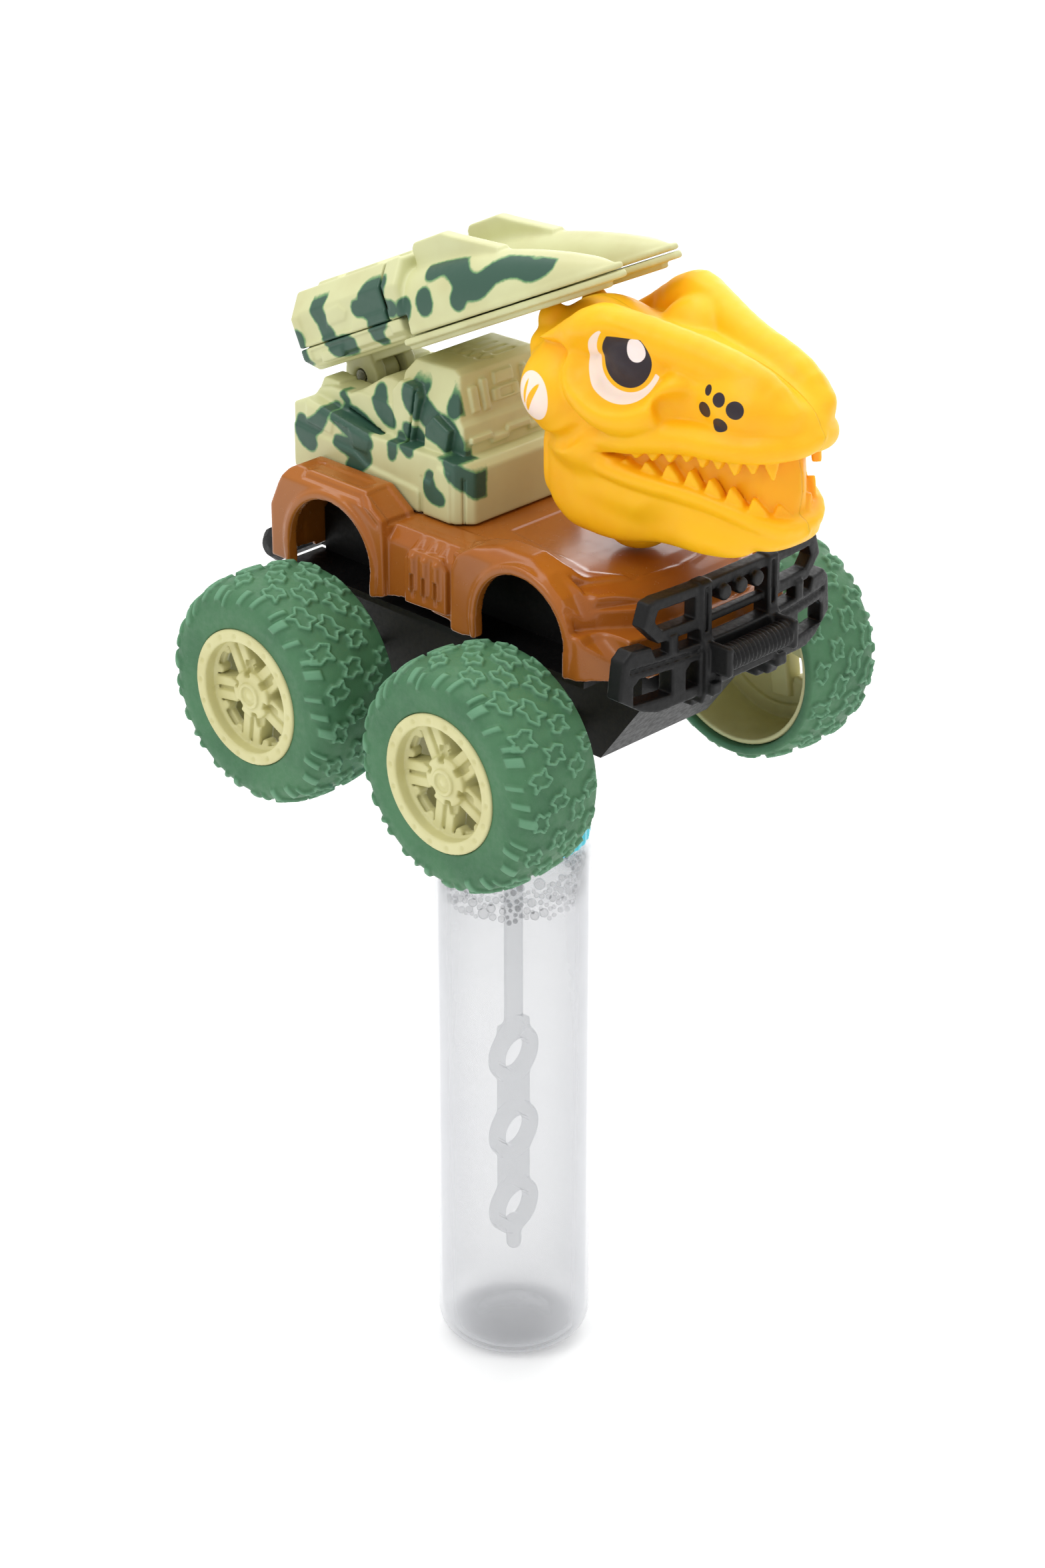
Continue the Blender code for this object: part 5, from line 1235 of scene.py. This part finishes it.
def make_body():
    """Glossy shell: angular rear fenders, round front arches, vented sides, a stepped nose, a flat hood."""
    clay = Clay((-52.6, -33.6, 16.8), (58.4, 33.6, 47.4), 0.45)
    deck = [(-50.0, 20.0), (-50.0, 38.0), (2.0, 38.2), (12.0, 38.6), (30.0, 38.9), (42.0, 38.6),
            (46.4, 37.8), (50.6, 35.2),
            (54.0, 34.7), (54.6, 30.6), (56.2, 30.0), (56.2, 20.0)]
    clay.add(slab(deck, -25.0, 25.0, r=0.6))
    rear = [(-50.4, 20.4), (-50.4, 33.5), (-47.6, 39.6), (-45.4, 43.2), (-43.6, 44.2), (-20.6, 44.2),
            (-13.8, 39.6),
            (-13.4, 36.0), (-13.4, 20.8)]
    clay.add(both(slab(rear, 21.4, 32.0, r=0.5)), blend=0.4)
    clay.cut(both(turned(block((-60.0, 32.0, 20.0), (-12.0, 44.0, 64.0)), "X", 45.0, (0.0, 32.0, 41.6))),
             blend=0.3)
    front = [(7.4, 20.0), (7.8, 35.0), (9.6, 38.8), (14.0, 41.6), (20.0, 43.0), (29.0, 43.1), (36.0, 41.4),
             (41.0, 37.6),
             (44.2, 32.6), (47.4, 28.4), (52.0, 25.4), (56.0, 24.0), (56.2, 19.0)]
    clay.add(both(slab(front, 23.0, 32.0, r=1.0)), blend=4.0)
    clay.cut(both(turned(block((4.0, 32.0, 20.0), (60.0, 44.0, 66.0)), "X", 52.0, (0.0, 32.0, 40.6))),
             blend=1.0)
    waist = [(-17.0, 21.0), (-17.0, 38.2), (10.0, 38.4), (10.0, 20.0)]
    clay.add(both(slab(waist, 20.0, 30.2, r=0.5)), blend=0.7)
    clay.cut(both(turned(block((-13.2, 30.2, 20.0), (7.0, 44.0, 60.0), 0.3), "X", 42.0, (0.0, 30.2, 35.2))),
             blend=0.5)
    # Cut-back nose corners with facets.
    clay.cut(both(slab([(43.6, 33.8), (55.0, 25.0), (57.2, 14.0), (60.0, 14.0), (60.0, 36.0), (43.6, 36.0)],
                       10.0, 60.0, "z")),
             blend=0.5)
    clay.cut(both(slab([(41.6, 32.4), (45.4, 25.6), (53.2, 16.0), (54.8, 8.0), (60.0, 8.0), (60.0, 36.0),
                        (41.6, 36.0)],
                       30.3, 60.0, "z")), blend=0.35)
    clay.cut(both(slab([(42.2, 31.0), (46.0, 23.0), (51.4, 13.0), (53.4, 6.0), (60.0, 6.0), (60.0, 36.0),
                        (42.2, 36.0)],
                       34.6, 60.0, "z")), blend=0.5)
    clay.cut(both(slab([(38.0, 25.0), (46.4, 10.0), (48.0, 4.0), (60.0, 4.0), (60.0, 25.0)], 37.6, 60.0,
                       "z")), blend=1.6)
    clay.cut(slab([(55.5, -24.0), (55.5, 24.0), (60.0, 26.0), (60.0, -26.0)], 23.4, 25.0, "z", r=0.2),
             blend=0.3)
    solid = clay.field.copy()
    # Hollow below.
    inner = solid + 1.5
    level = int((27.0 - clay.low[2]) / clay.step)
    inner[:, :, :level] = inner[:, :, level][:, :, None]
    clay.field = -soft_min(-clay.field, inner, 0.1)

    def sink(shape, depth, soft=0.15):
        """Lowers the outer surface inside a shape by a depth."""
        d, lo, hi = shape
        ranges, gx, gy, gz = clay.axes(lo - 1.0, hi + 1.0)
        part = np.maximum(d(gx, gy, gz), -(solid[ranges] + depth))
        clay.field[ranges] = -soft_min(-clay.field[ranges], part, soft)
    # Panel step and chevron on the rear fenders, folds on the hood and the nose.
    sink(both(slab([(-40.4, 46.0), (-40.4, 42.4), (-21.9, 42.4), (-15.4, 37.8), (-14.9, 38.5),
                    (-21.7, 43.2), (-39.6, 43.2),
                    (-39.6, 46.0)], 24.0, 34.0)), 0.45)
    sink(both(slab([(-20.6, 46.0), (-20.6, 41.5), (-16.0, 38.2), (-13.0, 38.2), (-13.0, 46.0)], 23.6,
                   29.6)), 0.5)
    sink(both(slab([(-42.0, 41.0), (-42.0, 48.0), (-23.0, 48.0), (-23.0, 41.0)], 24.6, 28.4)), 0.35)
    sink(slab([(8.0, -13.0), (36.0, -17.5), (44.6, -12.5), (46.0, 0.0), (44.6, 12.5), (36.0, 17.5),
               (8.0, 13.0)], 37.0, 45.0,
              "z"), 0.35, 0.4)
    # Lips round the arches, then the arches themselves.
    for x, z in ((-30.3, 26.6), (29.4, 26.4)):
        clay.add(both(drum(15.4, 30.0, 32.7, centre=(x, 0.0, z), r=0.5)), blend=0.4)
        legs = [(x - 14.8, 20.8), (x + 14.8, 20.8), (x + 15.2, z), (x - 15.2, z)]
        clay.add(both(slab(legs, 30.2, 32.7, r=0.5)), blend=0.4)
        clay.cut(both(drum(13.2, 24.6, 40.0, centre=(x, 0.0, z))), blend=0.3)
        clay.cut(both(slab([(x - 13.2, 10.0), (x + 13.2, 10.0), (x + 13.2, z), (x - 13.2, z)], 24.6, 40.0)),
                 blend=0.3)
    clay.cut(both(block((-60.0, 20.0, 10.0), (-50.4, 40.0, 50.0))), blend=0.1)
    # Hems: the legs end a little below the arches, with slanted feet.
    clay.cut(both(slab([(-53.0, 16.0), (-53.0, 21.0), (-44.2, 21.0), (-43.0, 16.0)], 20.0, 40.0)),
             blend=0.2)
    clay.cut(both(slab([(-18.6, 10.0), (-18.6, 20.4), (-9.0, 22.4), (5.4, 21.4), (9.4, 19.8), (14.0, 20.8),
                        (16.4, 21.2),
                        (16.4, 10.0)], 20.0, 40.0)), blend=0.2)
    clay.cut(both(slab([(42.0, 10.0), (42.0, 20.0), (60.0, 21.2), (60.0, 10.0)], 20.0, 40.0)), blend=0.2)
    # Vent box: domed ribs above, slots below.
    clay.add(both(slab([(-7.2, 22.4), (-7.2, 33.0), (-5.4, 35.6), (4.4, 35.9), (6.2, 33.4), (6.2, 22.8)],
                       28.0, 31.5, r=0.5)),
             blend=0.2)
    for x in (-4.3, -0.6, 3.1):
        clay.add(both(rod((x, 31.0, 26.6), (x, 31.0, 33.8), 1.35)),
                 both(rod((x, 31.0, 33.8), (x, 27.6, 36.6), 1.35)), blend=0.2)
        clay.cut(both(block((x - 0.5, 31.0, 24.0), (x + 0.5, 34.0, 30.2), 0.2)), blend=0.15)
    clay.add(block((-50.4, -24.6, 27.0), (-48.6, 24.6, 37.0), 0.3), blend=0.2)
    obj, _ = clay_object("truck_body", clay, MATERIALS["brown"], rounds=3)
    settle(obj, "truck", "brown_plastic", "body_shell")


# ---------------------------------------------------------------- front bumper

def make_bumper():
    """Black guard: a swept lower beam with windows, uprights, hexagonal loops, lamps and a winch drum."""
    clay = Clay((51.4, -35.4, 12.0), (73.4, 35.4, 43.6), 0.38)

    def bent(shape, sweep=4.2):
        """The shape swept back towards the sides."""
        d, lo, hi = shape
        return lambda x, y, z: d(x + sweep * (y / 34.0) ** 2, y, z), lo - (sweep, 0, 0), hi
    beam = [(-34.0, 21.0), (-33.0, 29.6), (-31.0, 31.8), (-26.0, 31.6), (-24.8, 29.0), (24.8, 29.0),
            (26.0, 31.6),
            (31.0, 31.8), (33.0, 29.6), (34.0, 21.0), (28.0, 17.0), (24.0, 15.8), (12.0, 16.6), (9.0, 18.0),
            (-9.0, 18.0),
            (-12.0, 16.6), (-24.0, 15.8), (-28.0, 17.0)]
    clay.add(bent(slab(beam, 60.8, 65.0, "x", r=0.5)))
    for low, high in ((-30.4, -20.4), (-16.6, -12.8)):
        hole = [(low, 19.2), (high, 19.2), (high, 25.0), (low + 1.4, 25.0), (low, 23.6)]
        clay.cut(bent(both(slab([(-a, b) for a, b in hole], 58.0, 68.0, "x"))), blend=0.3)
    clay.cut(bent(both(slab([(12.6, 26.6), (31.4, 26.6), (31.4, 27.6), (12.6, 27.6)], 64.4, 68.0, "x"))),
             blend=0.2)
    # Uprights with a nicked top, and the bar that carries the lamps.
    clay.add(both(slab([(59.8, 14.4), (64.6, 14.4), (66.0, 18.0), (66.0, 27.0), (64.4, 30.0), (64.2, 42.0),
                        (63.2, 42.6),
                        (60.4, 42.4), (60.0, 38.0)], 9.0, 12.4, r=0.4)), blend=0.3)
    clay.cut(both(block((63.4, 10.2, 31.0), (66.0, 11.2, 41.0))), blend=0.2)
    clay.add(block((60.4, -11.0, 39.6), (63.6, 11.0, 42.2), 0.4), blend=0.3)
    for y in (-5.2, 0.0, 5.2):
        clay.add(drum(1.85, 61.0, 64.8, "x", (0.0, y, 38.4), r=0.5),
                 block((61.0, y - 0.5, 38.0), (62.6, y + 0.5, 41.0)), blend=0.2)
    clay.add(block((60.6, -10.0, 31.8), (63.0, 10.0, 33.6), 0.4), blend=0.3)
    # Hexagonal side loops.
    loop = [(11.0, 31.8), (24.0, 31.8), (28.6, 36.6), (27.0, 41.6), (24.4, 42.2), (11.0, 42.2)]
    hole = [(13.6, 34.6), (23.0, 34.6), (25.2, 37.2), (24.2, 39.6), (13.6, 39.6)]
    clay.add(bent(both(slab(loop, 60.4, 64.0, "x", r=0.5)), 2.6), blend=0.3)
    clay.cut(bent(both(slab(hole, 58.0, 68.0, "x")), 2.6), blend=0.3)
    clay.add(both(block((60.6, 19.0, 28.4), (63.8, 21.6, 33.0), 0.4)), blend=0.3)
    # Winch cheeks, a drum wound with cord-like ridges, and the feet that hold the guard to the chassis.
    clay.add(both(block((63.4, 9.6, 22.2), (71.4, 11.4, 29.0), 0.6)), blend=0.3)
    clay.add(drum(2.45, -10.2, 10.2, centre=(68.6, 0.0, 25.6)), blend=0.1)
    for k in range(15):
        clay.add(drum(3.05, -9.1 + 1.3 * k - 0.42, -9.1 + 1.3 * k + 0.42, centre=(68.6, 0.0, 25.6), r=0.4),
                 blend=0.1)
    clay.add(both(block((63.6, 8.8, 17.0), (67.6, 12.2, 20.0), 0.5)),
             both(block((52.3, 8.9, 13.0), (61.8, 12.3, 17.4), 0.4)),
             blend=0.3)
    clay.add(block((63.8, -9.6, 19.0), (67.0, 9.6, 21.2), 0.5), blend=0.3)
    obj, _ = clay_object("front_guard", clay, MATERIALS["black"], rounds=1)
    settle(obj, "truck", "black_plastic", "front_bumper")


make_launcher()
make_pod()
make_body()
make_bumper()


# ---------------------------------------------------------------- bottle, solution, froth, cap and wand

LIQUID_TOP = -56.0


def make_bottle():
    """Thin clear tube with a round foot, a pushed-up base, a shoulder and a neck; solution fills it."""
    foot = [(5.0, -181.3), (7.0, -182.0), (9.0, -183.1), (11.0, -183.5), (12.8, -183.5)]
    curve = [(12.8 + 6.0 * math.sin(t), -177.5 - 6.0 * math.cos(t))
             for t in np.linspace(0.12, math.pi / 2, 9)]
    tube = [(18.8, z) for z in np.linspace(-170.0, -58.0, 9)]
    top = [(18.8, -51.4), (18.6, -49.6), (17.9, -48.0), (16.6, -46.6), (15.0, -45.7), (14.2, -45.0),
           (14.2, -33.6),
           (13.9, -33.05), (13.2, -33.05), (12.9, -33.6), (12.9, -44.6), (13.6, -46.0), (15.4, -47.2),
           (16.8, -48.8),
           (17.6, -50.6), (17.85, -52.6)]
    inner = [(17.85, z) for z in np.linspace(-58.0, -172.0, 8)]
    inner += [(11.9 + 5.95 * math.cos(t), -176.6 - 5.95 * math.sin(t))
              for t in np.linspace(0.1, math.pi / 2, 9)]
    inner += [(9.6, -182.2), (7.6, -181.4), (5.6, -180.6), (0.0, -180.2)]
    settle(lathe("solution_bottle", [(0.0, -181.1)] + foot + curve + tube + top + inner, BOTTLE_X,
                 MATERIALS["clear"],
                 112), "bottle", "clear_bottle", "bottle")
    gap = 0.06
    fill = [(0.0, -180.2 + gap), (5.6, -180.5), (7.6, -181.3), (9.6, -182.1)]
    fill += [(11.9 + 5.89 * math.sin(t), -176.6 - 5.89 * math.cos(t))
             for t in np.linspace(0.05, math.pi / 2, 9)]
    fill += [(17.79, -172.0), (17.79, -120.0), (17.79, LIQUID_TOP - 0.8), (17.4, LIQUID_TOP - 0.5),
             (16.0, LIQUID_TOP - 0.9),
             (4.0, LIQUID_TOP - 1.0)]
    fill += [(0.0, LIQUID_TOP - 1.0)]
    settle(lathe("bubble_solution", fill, BOTTLE_X, MATERIALS["liquid"], 96), "bottle",
           "clear_bottle")


def make_froth():
    """Bubbles crowded under the cap against the wall, with a scalloped lower edge."""
    chance = np.random.default_rng(7)
    bm = bmesh.new()
    where = []
    for _ in range(7000):
        turn = chance.uniform(0, 2 * math.pi)
        size = chance.choice([0.55, 0.7, 0.9, 1.15, 1.45], p=[0.3, 0.28, 0.22, 0.13, 0.07])
        reach = 17.7 - size - abs(chance.normal(0.0, 0.25))
        z = chance.uniform(LIQUID_TOP - 4.6 + 1.0 * math.sin(9 * turn) * 0.4, -51.6)
        if reach < 8.0:
            continue
        point = np.array((reach * math.cos(turn), reach * math.sin(turn), z, size))
        if where:
            near = np.array(where)
            if np.min(np.linalg.norm(near[:, :3] - point[:3], axis=1) - near[:, 3] - size) < -0.12 * size:
                continue
        where.append(point)
        if len(where) > (420):
            break
    for x, y, z, size in where:
        bmesh.ops.create_icosphere(bm, subdivisions=2, radius=size * 0.001,
                                   matrix=Matrix.Translation(Vector(place((BOTTLE_X + x, y, z)))))
    mesh = bpy.data.meshes.new("froth")
    bm.to_mesh(mesh)
    bm.free()
    mesh.materials.append(MATERIALS["foam"])
    mesh.polygons.foreach_set("use_smooth", [True] * len(mesh.polygons))
    obj = bpy.data.objects.new("froth", mesh)
    bpy.context.scene.collection.objects.link(obj)
    settle(obj, "bottle", "clear_bottle")


def make_cap():
    """Screw cap with grip ribs, a rounded shoulder and the plug that enters the truck."""
    segments = 216
    bm = bmesh.new()
    profile = [(14.9, -46.0, 0.0), (17.2, -46.0, 0.0), (17.7, -45.6, 0.6), (17.75, -44.6, 1.0),
               (17.75, -30.6, 1.0),
               (17.6, -29.2, 0.5), (16.9, -28.0, 0.0), (15.8, -27.5, 0.0), (9.0, -27.5, 0.0),
               (9.0, 4.1, 0.0), (8.7, 4.7, 0.0),
               (8.0, 5.0, 0.0), (7.0, 5.0, 0.0), (7.0, -26.4, 0.0), (2.6, -26.4, 0.0), (2.6, -31.4, 0.0),
               (14.5, -31.4, 0.0),
               (14.9, -32.0, 0.0)]
    rings = []
    for r, z, ribbed in profile:
        ring = []
        for k in range(segments):
            t = 2 * math.pi * k / segments
            swell = 0.42 * ribbed * (1 if k % 6 in (1, 2, 3) else 0)
            ring.append(bm.verts.new(place((BOTTLE_X + (r + swell) * math.cos(t), (r + swell) * math.sin(t),
                                            z))))
        rings.append(ring)
    for a, b in zip(rings, rings[1:] + rings[:1]):
        for k in range(segments):
            n = (k + 1) % segments
            bm.faces.new((a[k], a[n], b[n], b[k]))
    bmesh.ops.recalc_face_normals(bm, faces=bm.faces)
    mesh = bpy.data.meshes.new("screw_cap")
    bm.to_mesh(mesh)
    bm.free()
    mesh.materials.append(MATERIALS["cyan"])
    obj = bpy.data.objects.new("screw_cap", mesh)
    bpy.context.scene.collection.objects.link(obj)
    mesh.set_sharp_from_angle(angle=math.radians(34))
    settle(obj, "truck", "cyan_cap", "bottle_cap")


def make_wand():
    """Flat moulded wand: a round rod, then three rings with toothed rims inside."""
    clay = Clay((-9.0, -8.4, -162.0), (1.0, 8.4, -26.0), 0.36)
    x = BOTTLE_X
    clay.add(rod((x, 0, -98.0), (x, 0, -28.4), 2.3))
    for k in range(3):
        z = -105.8 - 21.7 * k
        clay.add(drum(7.4, x - 1.6, x + 1.6, "x", (0.0, 0.0, z), r=0.5), blend=2.4)
    clay.add(block((x - 1.4, -4.6, -154.0), (x + 1.4, 4.6, -97.0), 0.5), blend=0.8)
    for k in range(3):
        z = -105.8 - 21.7 * k
        clay.cut(drum(4.3, x - 4.0, x + 4.0, "x", (0.0, 0.0, z)), blend=0.2)
        for j in range(16):
            t = 2 * math.pi * j / 16
            clay.add(rod((x - 1.1, 4.5 * math.sin(t), z + 4.5 * math.cos(t)),
                         (x + 1.1, 4.5 * math.sin(t), z + 4.5 * math.cos(t)),
                         0.42), blend=0.15)
    clay.add(rod((x, 0, -160.0), (x, 0, -154.0), 1.9), blend=1.0)
    obj, _ = clay_object("bubble_wand", clay, MATERIALS["wand"], rounds=1)
    settle(obj, "truck", "wand_plastic", "wand")


make_bottle()
make_froth()
make_cap()
make_wand()


# ---------------------------------------------------------------- solids kept from the frame

FINISHES = {"clear_bottle": "clear", "cyan_cap": "cyan", "seal_foam": "foam_seal", "wand_plastic": "wand",
            "steel": "steel", "rim_plastic": "rim", "tyre_rubber": "rubber", "white_nylon": "nylon",
            "grey_plastic": "grey", "black_plastic": "black", "brown_plastic": "brown",
            "camouflage_plastic": "camo", "yellow_plastic": "yellow"}
for part in frame["record"]["subparts"]:
    node = frame["nodes"][part["node"]]
    for index in range(len(node.material_slots)):
        node.material_slots[index].link = "OBJECT"
        node.material_slots[index].material = MATERIALS[FINISHES[part["material_slot"]]]
